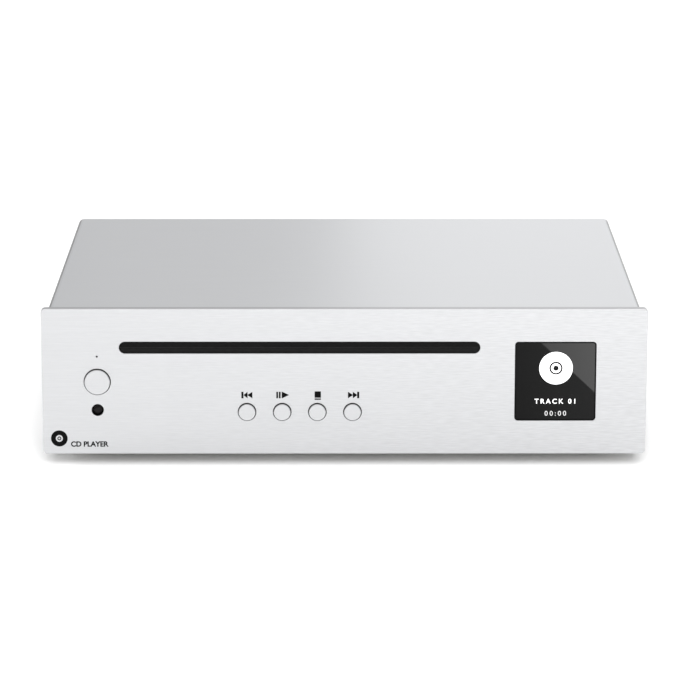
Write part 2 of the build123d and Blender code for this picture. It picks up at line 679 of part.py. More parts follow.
# Posts from the pan, rubber grommets in the drive's ears, and the screws through them
GROMMET_LOW_Z = 23.6
GROMMET_HIGH_Z = 29.4
GROMMET_R = 5.0
POST_R = 3.0
THREAD_DEPTH = 8.0
THREAD_USED = 6.0
with BuildPart() as drive_posts:
    with BuildSketch(Plane.XY.offset(PAN_TOP_Z)):
        with Locations(EAR_PLACES):
            Circle(POST_R)
    extrude(amount=GROMMET_LOW_Z - PAN_TOP_Z)
    with BuildSketch(Plane.XY.offset(GROMMET_LOW_Z)):
        with Locations(EAR_PLACES):
            Circle(SCREW_R)
    extrude(amount=-THREAD_DEPTH, mode=Mode.SUBTRACT)
finish(drive_posts, "drive_posts")

with BuildPart() as drive_dampers:
    with BuildSketch(Plane.XY.offset(GROMMET_LOW_Z)):
        with Locations(EAR_PLACES):
            Circle(GROMMET_R)
    extrude(amount=FLOOR_UNDER_Z - GROMMET_LOW_Z)
    with BuildSketch(Plane.XY.offset(FLOOR_UNDER_Z)):
        with Locations(EAR_PLACES):
            Circle(GROMMET_NECK_R)
    extrude(amount=SHEET)
    with BuildSketch(Plane.XY.offset(FLOOR_TOP_Z)):
        with Locations(EAR_PLACES):
            Circle(GROMMET_R)
    extrude(amount=GROMMET_HIGH_Z - FLOOR_TOP_Z)
    with BuildSketch(Plane.XY.offset(GROMMET_LOW_Z)):
        with Locations(EAR_PLACES):
            Circle(SCREW_R + 0.1)
    extrude(amount=GROMMET_HIGH_Z - GROMMET_LOW_Z, mode=Mode.SUBTRACT)
finish(drive_dampers, "drive_dampers")

with BuildPart() as drive_screws:
    for ear_place in EAR_PLACES:
        screw(Plane.XY.offset(GROMMET_HIGH_Z), ear_place, GROMMET_HIGH_Z - GROMMET_LOW_Z + THREAD_USED)
finish(drive_screws, "drive_screws")

# Loading roller: waisted rubber on a steel shaft, so that only the disc's rim is gripped
with BuildPart() as roller_sleeve:
    with BuildSketch(Plane.XY.offset(ROLLER_Z)):
        with BuildLine():
            Polyline(
                (SLOT_X - ROLLER_HALF_L, ROLLER_Y + SHAFT_R),
                (SLOT_X - ROLLER_HALF_L, ROLLER_Y + ROLLER_END_R),
                (SLOT_X, ROLLER_Y + ROLLER_MID_R),
                (SLOT_X + ROLLER_HALF_L, ROLLER_Y + ROLLER_END_R),
                (SLOT_X + ROLLER_HALF_L, ROLLER_Y + SHAFT_R),
                close=True,
            )
        make_face()
    revolve(axis=Axis((0, ROLLER_Y, ROLLER_Z), (1, 0, 0)))
finish(roller_sleeve, "roller_sleeve")

shaft_left_x = DRIVE_LEFT_X + SHEET + CLEAR
shaft_right_x = DRIVE_RIGHT_X - SHEET - CLEAR
with BuildPart() as roller_shaft:
    disc_between(across(shaft_left_x), SHAFT_R, shaft_right_x - shaft_left_x, (ROLLER_Y, ROLLER_Z))
    disc_between(across(DRIVE_LEFT_X), JOURNAL_R, 2 * DRIVE_HALF_W, (ROLLER_Y, ROLLER_Z))
finish(roller_shaft, "roller_shaft")

with BuildPart() as roller_gear:
    spur_gear(GEAR_X, ROLLER_Y, ROLLER_Z, ROLLER_TEETH, IDLER_DIRECTION)
    with BuildSketch(across(GEAR_X)):
        with Locations((ROLLER_Y, ROLLER_Z)):
            Circle(SHAFT_R)
    extrude(amount=GEAR_W, mode=Mode.SUBTRACT)
finish(roller_gear, "roller_gear")

with BuildPart() as idler_gear:
    spur_gear(GEAR_X, idler_y, idler_z, IDLER_TEETH, idler_phase)
    with BuildSketch(across(GEAR_X)):
        with Locations((idler_y, idler_z)):
            Circle(IDLER_PIN_R + RUNNING)
    extrude(amount=GEAR_W, mode=Mode.SUBTRACT)
finish(idler_gear, "idler_gear")

LOADING_MOTOR_X = GEAR_X + GEAR_W + MOTOR_PLATE_GAP + SHEET
LOADING_MOTOR_L = 18.0
MOTOR_SHAFT_IN = 4.5
MOTOR_BORE_DEPTH = 6.0
with BuildPart() as motor_pinion:
    spur_gear(GEAR_X, pinion_y, pinion_z, PINION_TEETH, pinion_phase)
    pinion_shaft_l = LOADING_MOTOR_X - GEAR_X + MOTOR_SHAFT_IN
    disc_between(across(GEAR_X), MOTOR_SHAFT_R, pinion_shaft_l, (pinion_y, pinion_z))
finish(motor_pinion, "motor_pinion")

with BuildPart() as loading_motor:
    disc_between(across(LOADING_MOTOR_X), MOTOR_R, LOADING_MOTOR_L, (pinion_y, pinion_z))
    with BuildSketch(across(LOADING_MOTOR_X)):
        with Locations((pinion_y, pinion_z)):
            Circle(MOTOR_SHAFT_R + RUNNING)
    extrude(amount=MOTOR_BORE_DEPTH, mode=Mode.SUBTRACT)
finish(loading_motor, "loading_motor")

# Low-friction bar over the roller
GUIDE_W = 8.0
GUIDE_EDGE_R = 1.5
GUIDE_OVER_DISC = 1.0
GUIDE_HALF_L = ROLLER_HALF_L + 2
with BuildPart() as upper_guide:
    with BuildSketch(across(SLOT_X - GUIDE_HALF_L)):
        with Locations((ROLLER_Y, LID_UNDER_Z)):
            guide_h = LID_UNDER_Z - DISC_Z - DISC_T / 2 - GUIDE_OVER_DISC
            Rectangle(GUIDE_W, guide_h, align=(Align.CENTER, Align.MAX))
    extrude(amount=2 * GUIDE_HALF_L)
    fillet(upper_guide.edges().filter_by(Axis.X).group_by(Axis.Z)[0], radius=GUIDE_EDGE_R)
finish(upper_guide, "upper_guide")

# Spindle: motor on the drive's floor, shaft, and a turntable with the disc's centring hub
SPINDLE_R = 1.0
SPINDLE_MOTOR_R = 12.0
TURNTABLE_R = 15.0
TURNTABLE_T = 2.0
HUB_H = 1.4
TURNTABLE_UNDER_Z = DISC_UNDER_Z - TURNTABLE_T
SPINDLE_MOTOR_TOP_Z = TURNTABLE_UNDER_Z - 1.5
with BuildPart() as spindle_motor:
    with BuildSketch(Plane.XY.offset(FLOOR_TOP_Z)):
        with Locations((SLOT_X, HUB_Y)):
            Circle(SPINDLE_MOTOR_R)
    extrude(amount=SPINDLE_MOTOR_TOP_Z - FLOOR_TOP_Z)
    fillet(spindle_motor.edges().group_by(Axis.Z)[-1], radius=1.0)
    with BuildSketch(Plane.XY.offset(FLOOR_TOP_Z + 1)):
        with Locations((SLOT_X, HUB_Y)):
            Circle(SPINDLE_R + RUNNING)
    extrude(amount=SPINDLE_MOTOR_TOP_Z - FLOOR_TOP_Z, mode=Mode.SUBTRACT)
finish(spindle_motor, "spindle_motor")

with BuildPart() as spindle_shaft:
    with BuildSketch(Plane.XY.offset(FLOOR_TOP_Z + 1 + CLEAR)):
        with Locations((SLOT_X, HUB_Y)):
            Circle(SPINDLE_R)
    extrude(amount=DISC_UNDER_Z - FLOOR_TOP_Z - 1 - CLEAR)
finish(spindle_shaft, "spindle_shaft")

with BuildPart() as turntable:
    with BuildSketch(Plane.XY.offset(TURNTABLE_UNDER_Z)):
        with Locations((SLOT_X, HUB_Y)):
            Circle(TURNTABLE_R)
    extrude(amount=TURNTABLE_T)
    with BuildSketch(Plane.XY.offset(DISC_UNDER_Z)):
        with Locations((SLOT_X, HUB_Y)):
            Circle(DISC_BORE_R - 0.1)
    extrude(amount=HUB_H)
    chamfer(turntable.edges().group_by(Axis.Z)[-1], length=0.6)
    with BuildSketch(Plane.XY.offset(TURNTABLE_UNDER_Z)):
        with Locations((SLOT_X, HUB_Y)):
            Circle(SPINDLE_R)
    extrude(amount=TURNTABLE_T, mode=Mode.SUBTRACT)
finish(turntable, "turntable")

# Clamp: a free puck held in a sprung arm over the hub, raised while there is no disc
PUCK_UNDER_Z = 44.6
PUCK_T = 2.0
PUCK_CAP_UNDER_Z = ARM_UNDER_Z + ARM_T + CLEAR
PUCK_CAP_T = 0.9
with BuildPart() as clamp_puck:
    with BuildSketch(Plane.XY.offset(PUCK_UNDER_Z)):
        with Locations((SLOT_X, HUB_Y)):
            Circle(PUCK_R)
    extrude(amount=PUCK_T)
    with BuildSketch(Plane.XY.offset(PUCK_UNDER_Z + PUCK_T)):
        with Locations((SLOT_X, HUB_Y)):
            Circle(PUCK_NECK_R)
    extrude(amount=PUCK_CAP_UNDER_Z - PUCK_UNDER_Z - PUCK_T)
    with BuildSketch(Plane.XY.offset(PUCK_CAP_UNDER_Z)):
        with Locations((SLOT_X, HUB_Y)):
            Circle(PUCK_NECK_R + 2)
    extrude(amount=PUCK_CAP_T)
    with BuildSketch(Plane.XY.offset(PUCK_UNDER_Z)):
        with Locations((SLOT_X, HUB_Y)):
            Circle(DISC_BORE_R + 0.7)
    extrude(amount=1.2, mode=Mode.SUBTRACT)
finish(clamp_puck, "clamp_puck")

ARM_BARREL_R = 1.45
with BuildPart() as clamp_arm:
    with BuildSketch(Plane.XY.offset(ARM_UNDER_Z)):
        with Locations((SLOT_X, HUB_Y)):
            Rectangle(2 * ARM_HALF_W, ARM_PIVOT_Y - HUB_Y, align=(Align.CENTER, Align.MIN))
            Circle(ARM_HALF_W)
    extrude(amount=ARM_T)
    disc_between(across(SLOT_X - ARM_HALF_W), ARM_BARREL_R, 2 * ARM_HALF_W, (ARM_PIVOT_Y, ARM_PIVOT_Z))
    with BuildSketch(Plane.XY.offset(ARM_UNDER_Z)):
        with Locations((SLOT_X, HUB_Y)):
            Circle(PUCK_NECK_R + CLEAR)
    extrude(amount=ARM_T, mode=Mode.SUBTRACT)
    with BuildSketch(across(SLOT_X - ARM_HALF_W)):
        with Locations((ARM_PIVOT_Y, ARM_PIVOT_Z)):
            Circle(ARM_PIN_R + RUNNING)
    extrude(amount=2 * ARM_HALF_W, mode=Mode.SUBTRACT)
finish(clamp_arm, "clamp_arm")

with BuildPart() as clamp_pin:
    disc_between(
        across(SLOT_X - EAR_OFF_X - SHEET),
        ARM_PIN_R,
        2 * (EAR_OFF_X + SHEET),
        (ARM_PIVOT_Y, ARM_PIVOT_Z),
    )
finish(clamp_pin, "clamp_pin")

# Optical pickup: a sled on two rods, driven along the disc's radius by a lead screw
SLED_LOW_Z = 30.0
SLED_HIGH_Z = 36.0
SLED_HALF_W = 24.0
LENS_Y = HUB_Y + LENS_START_R
LENS_BLOCK_W = 14.0
LENS_BLOCK_L = 12.0
LENS_BLOCK_H = 2.2
NUT_W = 2.5
NUT_H = 3.0
ROD_SLOT_W = 4.5
with BuildPart() as guide_rods:
    for side in (-1, 1):
        disc_between(
            facing_front(DRIVE_BACK_Y - SHEET),
            ROD_R,
            DRIVE_BACK_Y - SHEET - ROD_FRONT_Y,
            (SLOT_X + side * ROD_OFF_X, ROD_Z),
        )
finish(guide_rods, "guide_rods")

with BuildPart() as pickup_sled:
    with BuildSketch(facing_front(SLED_BACK_Y)):
        with Locations((SLOT_X, (SLED_LOW_Z + SLED_HIGH_Z) / 2)):
            Rectangle(2 * SLED_HALF_W, SLED_HIGH_Z - SLED_LOW_Z)
        with Locations((SLOT_X - ROD_OFF_X, ROD_Z)):
            Circle(ROD_R + RUNNING, mode=Mode.SUBTRACT)
        with Locations((SLOT_X + ROD_OFF_X, ROD_Z)):
            SlotOverall(ROD_SLOT_W, 2 * (ROD_R + RUNNING), mode=Mode.SUBTRACT)
        with Locations((SLOT_X + SLED_HALF_W, ROD_Z)):
            Rectangle(NUT_W, NUT_H, align=(Align.MIN, Align.CENTER))
    extrude(amount=SLED_BACK_Y - SLED_FRONT_Y)
    with BuildSketch(Plane.XY.offset(SLED_HIGH_Z)):
        with Locations((SLOT_X, LENS_Y)):
            Rectangle(LENS_BLOCK_W, LENS_BLOCK_L)
    extrude(amount=LENS_BLOCK_H)
finish(pickup_sled, "pickup_sled")

LENS_R = 3.0
LENS_T = 1.0
with BuildPart() as pickup_lens:
    with BuildSketch(Plane.XY.offset(SLED_HIGH_Z + LENS_BLOCK_H)):
        with Locations((SLOT_X, LENS_Y)):
            Circle(LENS_R)
    extrude(amount=LENS_T)
    fillet(pickup_lens.edges().group_by(Axis.Z)[-1], radius=0.8)
finish(pickup_lens, "pickup_lens")

LEAD_MOTOR_L = 16.0
lead_plate_front_y = LEAD_FRONT_Y - MOTOR_PLATE_GAP - SHEET
lead_shaft_l = LEAD_FRONT_Y - lead_plate_front_y + MOTOR_SHAFT_IN
with BuildPart() as lead_screw:
    disc_between(
        facing_front(DRIVE_BACK_Y - SHEET - CLEAR),
        LEAD_R,
        DRIVE_BACK_Y - SHEET - CLEAR - LEAD_FRONT_Y,
        (LEAD_X, ROD_Z),
    )
    disc_between(facing_front(DRIVE_BACK_Y), LEAD_TIP_R, SHEET + CLEAR, (LEAD_X, ROD_Z))
    disc_between(facing_front(LEAD_FRONT_Y), MOTOR_SHAFT_R, lead_shaft_l, (LEAD_X, ROD_Z))
finish(lead_screw, "lead_screw")

with BuildPart() as sled_motor:
    disc_between(facing_front(lead_plate_front_y), MOTOR_R, LEAD_MOTOR_L, (LEAD_X, ROD_Z))
    with BuildSketch(facing_front(lead_plate_front_y)):
        with Locations((LEAD_X, ROD_Z)):
            Circle(MOTOR_SHAFT_R + RUNNING)
    extrude(amount=MOTOR_BORE_DEPTH, mode=Mode.SUBTRACT)
finish(sled_motor, "sled_motor")

# ---------------------------------------------------------------- main board and sockets

SPACER_H = 5.0
SPACER_R = 3.0
BOARD_SCREW_IN = 3.5
BOARD_HOLE_DEPTH = 3.8
POST_HOLE_R = 4.0
MAIN_UNDER_Z = PAN_TOP_Z + SPACER_H
MAIN_TOP_Z = MAIN_UNDER_Z + BOARD_T
MAIN_LEFT_X = -78.0
MAIN_RIGHT_X = 92.0
MAIN_FRONT_Y = 2.0
MAIN_BACK_Y = REAR_BACK_Y - SHEET - 0.5
SPACERS = [(x, y) for x in (MAIN_LEFT_X + 4, MAIN_RIGHT_X - 4) for y in (MAIN_FRONT_Y + 4, MAIN_BACK_Y - 5)]
with BuildPart() as main_board:
    with BuildSketch(Plane.XY.offset(MAIN_UNDER_Z)):
        with Locations(((MAIN_LEFT_X + MAIN_RIGHT_X) / 2, (MAIN_FRONT_Y + MAIN_BACK_Y) / 2)):
            Rectangle(MAIN_RIGHT_X - MAIN_LEFT_X, MAIN_BACK_Y - MAIN_FRONT_Y)
        with Locations((EAR_XS[1], EAR_YS[1])):
            Circle(POST_HOLE_R, mode=Mode.SUBTRACT)
        with Locations(SPACERS):
            Circle(SCREW_R, mode=Mode.SUBTRACT)
    extrude(amount=BOARD_T)
finish(main_board, "main_board")

with BuildPart() as board_spacers:
    with BuildSketch(Plane.XY.offset(PAN_TOP_Z)):
        with Locations(SPACERS):
            RegularPolygon(SPACER_R, 6)
    extrude(amount=SPACER_H)
    with BuildSketch(Plane.XY.offset(MAIN_UNDER_Z)):
        with Locations(SPACERS):
            Circle(SCREW_R)
    extrude(amount=-BOARD_HOLE_DEPTH, mode=Mode.SUBTRACT)
finish(board_spacers, "board_spacers")

with BuildPart() as board_screws:
    for spacer_place in SPACERS:
        screw(Plane.XY.offset(MAIN_TOP_Z), spacer_place, BOARD_T + BOARD_SCREW_IN)
finish(board_screws, "board_screws")

# Chips by middle and side: processor, memory, converter, two output amplifiers, regulator
CHIP_T = 1.4
CHIPS = [(8, 32, 14), (30, 30, 9), (-44, 40, 9), (-60, 44, 5), (-60, 30, 5), (78, 44, 10)]
with BuildPart() as main_board_chips:
    with BuildSketch(Plane.XY.offset(MAIN_TOP_Z)):
        for chip_x, chip_y, chip_w in CHIPS:
            with Locations((chip_x, chip_y)):
                Rectangle(chip_w, chip_w)
    extrude(amount=CHIP_T)
finish(main_board_chips, "main_board_chips")

CAPACITOR_R = 4.0
CAPACITOR_H = 10.0
CAPACITORS = [(68, 30), (78, 30), (68, 20), (78, 20), (-30, 24), (-30, 36)]
with BuildPart() as capacitors:
    with BuildSketch(Plane.XY.offset(MAIN_TOP_Z)):
        with Locations(CAPACITORS):
            Circle(CAPACITOR_R)
    extrude(amount=CAPACITOR_H)
    fillet(capacitors.edges().group_by(Axis.Z)[-1], radius=0.6)
finish(capacitors, "capacitors")

SOCKET_BLOCK_Y = 60.0
RCA_BLOCK_W = 11.0
DC_BLOCK_W = 9.6
RCA_HOLE_END_Y = SOCKET_BLOCK_Y + 6


def block_on_board(x, width, front_y, back_y):
    """A socket's housing, standing on the main board behind the rear panel."""
    top_z = 2 * SOCKET_Z - MAIN_TOP_Z
    if top_z > FLOOR_UNDER_Z - CLEAR:
        top_z = FLOOR_UNDER_Z - CLEAR
    with BuildSketch(Plane.XY.offset(MAIN_TOP_Z)) as footprint:
        with Locations((x, front_y)):
            Rectangle(width, back_y - front_y, align=(Align.CENTER, Align.MIN))
    extrude(footprint.sketch, amount=top_z - MAIN_TOP_Z)


RCA_SOCKETS = (
    ("left_output_socket", LEFT_OUT_X),
    ("right_output_socket", RIGHT_OUT_X),
    ("coax_output_socket", COAX_X),
)
for socket_name, socket_x in RCA_SOCKETS:
    with BuildPart() as rca_socket:
        block_on_board(socket_x, RCA_BLOCK_W, SOCKET_BLOCK_Y, REAR_BACK_Y)
        here = (socket_x, SOCKET_Z)
        disc_between(facing_front(REAR_FACE_Y), RCA_NECK_R, REAR_T, here)
        disc_between(facing_front(REAR_FACE_Y + RCA_COLLAR_T), RCA_COLLAR_R, RCA_COLLAR_T, here)
        barrel = SOCKET_END_Y - REAR_FACE_Y - RCA_COLLAR_T
        disc_between(facing_front(SOCKET_END_Y), RCA_BARREL_R, barrel, here)
        chamfer(rca_socket.edges().group_by(Axis.Y)[-1], length=0.4)
        with BuildSketch(facing_front(SOCKET_END_Y)):
            with Locations(here):
                Circle(RCA_PIN_HOLE_R)
        extrude(amount=SOCKET_END_Y - RCA_HOLE_END_Y, mode=Mode.SUBTRACT)
    finish(rca_socket, socket_name)

# Optical socket: a square mouth with a sprung flap, which folds up into a recess inside
MOUTH = 6.6
FLAP_T = 0.6
FLAP_H = 6.6
FLAP_PIN_R = 0.4
FLAP_AXIS_Y = REAR_EDGE_Y - 0.85
FLAP_AXIS_Z = SOCKET_Z + 3.75
OPTICAL_IN_Y = REAR_EDGE_Y - 9.5
with BuildPart() as optical_socket:
    with BuildSketch(facing_front(REAR_EDGE_Y)):
        with Locations((OPTICAL_X, SOCKET_Z)):
            Rectangle(OPTICAL_W, OPTICAL_H)
    extrude(amount=REAR_EDGE_Y - SOCKET_BLOCK_Y)
    with BuildSketch(facing_front(REAR_BACK_Y)):
        with Locations((OPTICAL_X, MAIN_TOP_Z)):
            Rectangle(OPTICAL_W, 4, align=(Align.CENTER, Align.MIN))
    extrude(amount=REAR_BACK_Y - SOCKET_BLOCK_Y)
    with BuildSketch(facing_front(REAR_EDGE_Y)):
        with Locations((OPTICAL_X, SOCKET_Z)):
            Rectangle(MOUTH, MOUTH)
    extrude(amount=REAR_EDGE_Y - OPTICAL_IN_Y, mode=Mode.SUBTRACT)
    with BuildSketch(facing_front(FLAP_AXIS_Y + 0.45)):
        with Locations((OPTICAL_X, SOCKET_Z)):
            Rectangle(MOUTH, MOUTH / 2 + 1.3, align=(Align.CENTER, Align.MIN))
    extrude(amount=8.0, mode=Mode.SUBTRACT)
finish(optical_socket, "optical_socket")

with BuildPart() as optical_flap:
    with BuildSketch(facing_front(FLAP_AXIS_Y + FLAP_T / 2)):
        with Locations((OPTICAL_X, FLAP_AXIS_Z)):
            Rectangle(MOUTH - 0.4, FLAP_H, align=(Align.CENTER, Align.MAX))
    extrude(amount=FLAP_T)
    disc_between(across(OPTICAL_X - MOUTH / 2 + 0.1), FLAP_PIN_R, MOUTH - 0.2, (FLAP_AXIS_Y, FLAP_AXIS_Z))
finish(optical_flap, "optical_flap")

# Power inlet: a round well with a centre pin
DC_WELL_R = 3.2
DC_PIN_R = 1.0
DC_WELL_IN_Y = 64.0
with BuildPart() as power_inlet:
    block_on_board(POWER_IN_X, DC_BLOCK_W, SOCKET_BLOCK_Y - 1, REAR_BACK_Y)
    inlet = (POWER_IN_X, SOCKET_Z)
    disc_between(facing_front(REAR_EDGE_Y), DC_NECK_R, REAR_EDGE_Y - REAR_BACK_Y, inlet)
    with BuildSketch(facing_front(REAR_EDGE_Y)):
        with Locations(inlet):
            Circle(DC_WELL_R)
            Circle(DC_PIN_R, mode=Mode.SUBTRACT)
    extrude(amount=REAR_EDGE_Y - DC_WELL_IN_Y, mode=Mode.SUBTRACT)
    with BuildSketch(facing_front(REAR_EDGE_Y)):
        with Locations(inlet):
            Circle(2 * DC_PIN_R)
    extrude(amount=1.0, mode=Mode.SUBTRACT)
finish(power_inlet, "power_inlet")

# Flat ribbon cables, laid in soft bends between the boards
RIBBON_T = 0.3
RIBBON_W = 14.0
RIBBON_OVER_BOARD_Z = MAIN_TOP_Z + 1.5
RIBBON_END_Y = MAIN_FRONT_Y + 8
FRONT_RIBBON_X = 28.0
FRONT_RIBBON_Z = 22.0
FRONT_RIBBON_LOW_Z = PAN_TOP_Z + 2
DRIVE_RIBBON_X = -52.0
DRIVE_RIBBON_Y = -16.0
DRIVE_RIBBON_Z = FLOOR_UNDER_Z - 1


def ribbon(x, width, route, radius):
    """A flat cable across X, along a route of (y, z) points."""
    with BuildSketch(across(x - width / 2)) as section:
        with BuildLine() as centre:
            FilletPolyline(*route, radius=radius)
        trace(centre.line, line_width=RIBBON_T)
    extrude(section.sketch, amount=width)


with BuildPart() as front_ribbon:
    board_back_y = FRONT_BOARD_Y + BOARD_T
    ribbon(
        FRONT_RIBBON_X,
        RIBBON_W,
        [
            (board_back_y + CLEAR, FRONT_RIBBON_Z),
            (board_back_y + 6, FRONT_RIBBON_Z),
            (board_back_y + 12, FRONT_RIBBON_LOW_Z),
            (MAIN_FRONT_Y - 10, FRONT_RIBBON_LOW_Z),
            (MAIN_FRONT_Y - 5, RIBBON_OVER_BOARD_Z),
            (RIBBON_END_Y, RIBBON_OVER_BOARD_Z),
        ],
        2.2,
    )
finish(front_ribbon, "front_ribbon")

with BuildPart() as drive_ribbon:
    ribbon(
        DRIVE_RIBBON_X,
        RIBBON_W,
        [
            (DRIVE_RIBBON_Y + 12, DRIVE_RIBBON_Z),
            (DRIVE_RIBBON_Y, DRIVE_RIBBON_Z),
            (DRIVE_RIBBON_Y, RIBBON_OVER_BOARD_Z),
            (RIBBON_END_Y, RIBBON_OVER_BOARD_Z),
        ],
        4.0,
    )
finish(drive_ribbon, "drive_ribbon")
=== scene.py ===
import json
import math

import bmesh
import bpy
from mathutils import Matrix, Vector


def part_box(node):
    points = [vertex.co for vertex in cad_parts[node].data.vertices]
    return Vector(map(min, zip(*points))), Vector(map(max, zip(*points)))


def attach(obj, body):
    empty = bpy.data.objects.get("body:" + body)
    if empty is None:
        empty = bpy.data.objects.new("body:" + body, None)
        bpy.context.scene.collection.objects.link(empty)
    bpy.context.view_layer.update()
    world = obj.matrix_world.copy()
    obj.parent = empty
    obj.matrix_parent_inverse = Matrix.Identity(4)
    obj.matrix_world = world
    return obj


# A compact slot-loading CD player on a white studio floor. Metres, in the CAD's frame.
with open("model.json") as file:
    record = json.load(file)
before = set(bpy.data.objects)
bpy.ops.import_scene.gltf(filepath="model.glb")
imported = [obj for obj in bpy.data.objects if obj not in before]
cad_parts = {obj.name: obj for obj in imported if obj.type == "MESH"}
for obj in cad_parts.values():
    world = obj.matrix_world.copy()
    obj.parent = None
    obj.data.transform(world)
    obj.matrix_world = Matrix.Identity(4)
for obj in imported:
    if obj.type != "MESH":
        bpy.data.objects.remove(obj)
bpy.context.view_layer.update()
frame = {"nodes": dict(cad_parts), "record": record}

MM = 0.001

# ---------------------------------------------------------------- places read from the frame

panel_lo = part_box("front_panel")[0]
glass_lo, glass_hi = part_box("display_window")
felt_lo, felt_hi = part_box("dust_felts")
cover_lo, cover_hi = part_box("top_cover")
FACE_Y = panel_lo.y
CAP_FRONT_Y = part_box("power_button")[0].y
BACK_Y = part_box("rear_panel")[1].y
PANEL_BOTTOM = panel_lo.z
GLASS_MID = (glass_lo + glass_hi) / 2
MOUNTS = {mount["name"]: Vector(mount["pos_m"]) for mount in frame["record"]["mounts"]}
SOCKET_Z = MOUNTS["coax_output"].z


def middle(node):
    """Middle of a CAD node's box."""
    lo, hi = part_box(node)
    return (lo + hi) / 2


# ---------------------------------------------------------------- camera

# Sensor width and focal length in millimetres
SENSOR = 36.0
LENS = 179.048
CAMERA_X = -1.7 * MM
CAMERA_AHEAD = 1128.6 * MM
CAMERA_ABOVE_PANEL = 316.8 * MM
CAMERA_PITCH = math.radians(13.844)
CAMERA_YAW = math.radians(0.081)


def add_camera():
    """A long lens, in front of the player and above it."""
    data = bpy.data.cameras.new("camera")
    data.sensor_width = SENSOR
    data.lens = LENS
    data.clip_start = 0.01
    data.clip_end = 50
    data.dof.use_dof = False
    camera = bpy.data.objects.new("camera", data)
    camera.location = (CAMERA_X, FACE_Y - CAMERA_AHEAD, PANEL_BOTTOM + CAMERA_ABOVE_PANEL)
    camera.rotation_euler = (math.pi / 2 - CAMERA_PITCH, 0, -CAMERA_YAW)
    bpy.context.scene.collection.objects.link(camera)
    bpy.context.scene.camera = camera
    return camera


camera = add_camera()

# ---------------------------------------------------------------- node helpers


class Shader:
    """A small wrapper that adds and joins shader nodes of one material."""

    def __init__(self, name):
        self.material = bpy.data.materials.new(name)
        self.material.use_nodes = True
        self.tree = self.material.node_tree
        self.surface = self.tree.nodes["Principled BSDF"]

    def add(self, kind, **values):
        node = self.tree.nodes.new(kind)
        for key, value in values.items():
            if key in node.inputs:
                node.inputs[key].default_value = value
            else:
                setattr(node, key, value)
        return node

    def join(self, out, into):
        self.tree.links.new(out, into)

    def place(self, scale):
        """Object coordinates, stretched by a scale for each axis."""
        coords = self.add("ShaderNodeTexCoord")
        mapping = self.add("ShaderNodeMapping")
        mapping.inputs["Scale"].default_value = scale
        self.join(coords.outputs["Object"], mapping.inputs["Vector"])
        return mapping.outputs["Vector"]

    def noise(self, scale, detail=2.0, roughness=0.5):
        node = self.add("ShaderNodeTexNoise")
        node.inputs["Scale"].default_value = 1.0
        node.inputs["Detail"].default_value = detail
        node.inputs["Roughness"].default_value = roughness
        self.join(self.place(scale), node.inputs["Vector"])
        return node.outputs["Fac"]

    def spread(self, value, low, high, start=0.3, end=0.7):
        """Maps a value from start..end to low..high."""
        node = self.add("ShaderNodeMapRange")
        node.inputs["From Min"].default_value = start
        node.inputs["From Max"].default_value = end
        node.inputs["To Min"].default_value = low
        node.inputs["To Max"].default_value = high
        self.join(value, node.inputs["Value"])
        return node.outputs["Result"]

    def ramp(self, value, low, high, start=0.3, end=0.7):
        """Colour between two colours."""
        node = self.add("ShaderNodeValToRGB")
        node.color_ramp.elements[0].position = start
        node.color_ramp.elements[1].position = end
        node.color_ramp.elements[0].color = (*low, 1)
        node.color_ramp.elements[1].color = (*high, 1)
        self.join(value, node.inputs["Fac"])
        return node.outputs["Color"]

    def past(self, axis, edge, soft=0.02 * MM):
        """0 before a place on an axis and 1 beyond it, changing over a soft width."""
        coords = self.add("ShaderNodeTexCoord")
        split = self.add("ShaderNodeSeparateXYZ")
        self.join(coords.outputs["Object"], split.inputs["Vector"])
        return self.spread(split.outputs[axis], 0.0, 1.0, start=edge, end=edge + soft)

    def beyond(self, centre, radius, soft=0.05 * MM):
        """0 within a radius of an axis along Y and 1 outside it."""
        coords = self.add("ShaderNodeTexCoord")
        offset = self.add("ShaderNodeVectorMath")
        offset.operation = "SUBTRACT"
        offset.inputs[1].default_value = (centre[0], 0, centre[1])
        self.join(coords.outputs["Object"], offset.inputs[0])
        flat = self.add("ShaderNodeVectorMath")
        flat.operation = "MULTIPLY"
        flat.inputs[1].default_value = (1, 0, 1)
        self.join(offset.outputs["Vector"], flat.inputs[0])
        length = self.add("ShaderNodeVectorMath")
        length.operation = "LENGTH"
        self.join(flat.outputs["Vector"], length.inputs[0])
        return self.spread(length.outputs["Value"], 0.0, 1.0, start=radius, end=radius + soft)

    def times(self, first, second):
        node = self.add("ShaderNodeMath")
        node.operation = "MULTIPLY"
        self.join(first, node.inputs[0])
        self.join(second, node.inputs[1])
        return node.outputs["Value"]

    def blend(self, factor, first, second):
        """Colour that goes from one output to another."""
        node = self.add("ShaderNodeMix")
        node.data_type = "RGBA"
        self.join(factor, node.inputs["Factor"])
        colours = [socket for socket in node.inputs if socket.type == "RGBA"]
        self.join(first, colours[0])
        self.join(second, colours[1])
        return next(socket for socket in node.outputs if socket.type == "RGBA")

    def colour(self, out):
        self.join(out, self.surface.inputs["Base Color"])

    def bump(self, height, strength, distance):
        node = self.add("ShaderNodeBump")
        node.inputs["Strength"].default_value = strength
        node.inputs["Distance"].default_value = distance
        self.join(height, node.inputs["Height"])
        self.join(node.outputs["Normal"], self.surface.inputs["Normal"])

    def set(self, **values):
        for key, value in values.items():
            self.surface.inputs[key.replace("_", " ")].default_value = value


def grey(value):
    return (value, value, value)


# ---------------------------------------------------------------- materials


# Noise scales for each axis: low along X, so that scratches run along the panel
BRUSHED_GRAIN = (45, 3000, 3000)
PANEL_LOW = (0.575, 0.58, 0.59)
PANEL_HIGH = (0.612, 0.617, 0.627)
# Fleck colours against the panel's, and where and over what width the flecks fade in towards the right: a
# painted sheen
FLECK_DARK = 0.90
FLECK_BRIGHT = 1.07
SHEEN_START_X = panel_lo.x - 60 * MM
SHEEN_FADE = 420 * MM


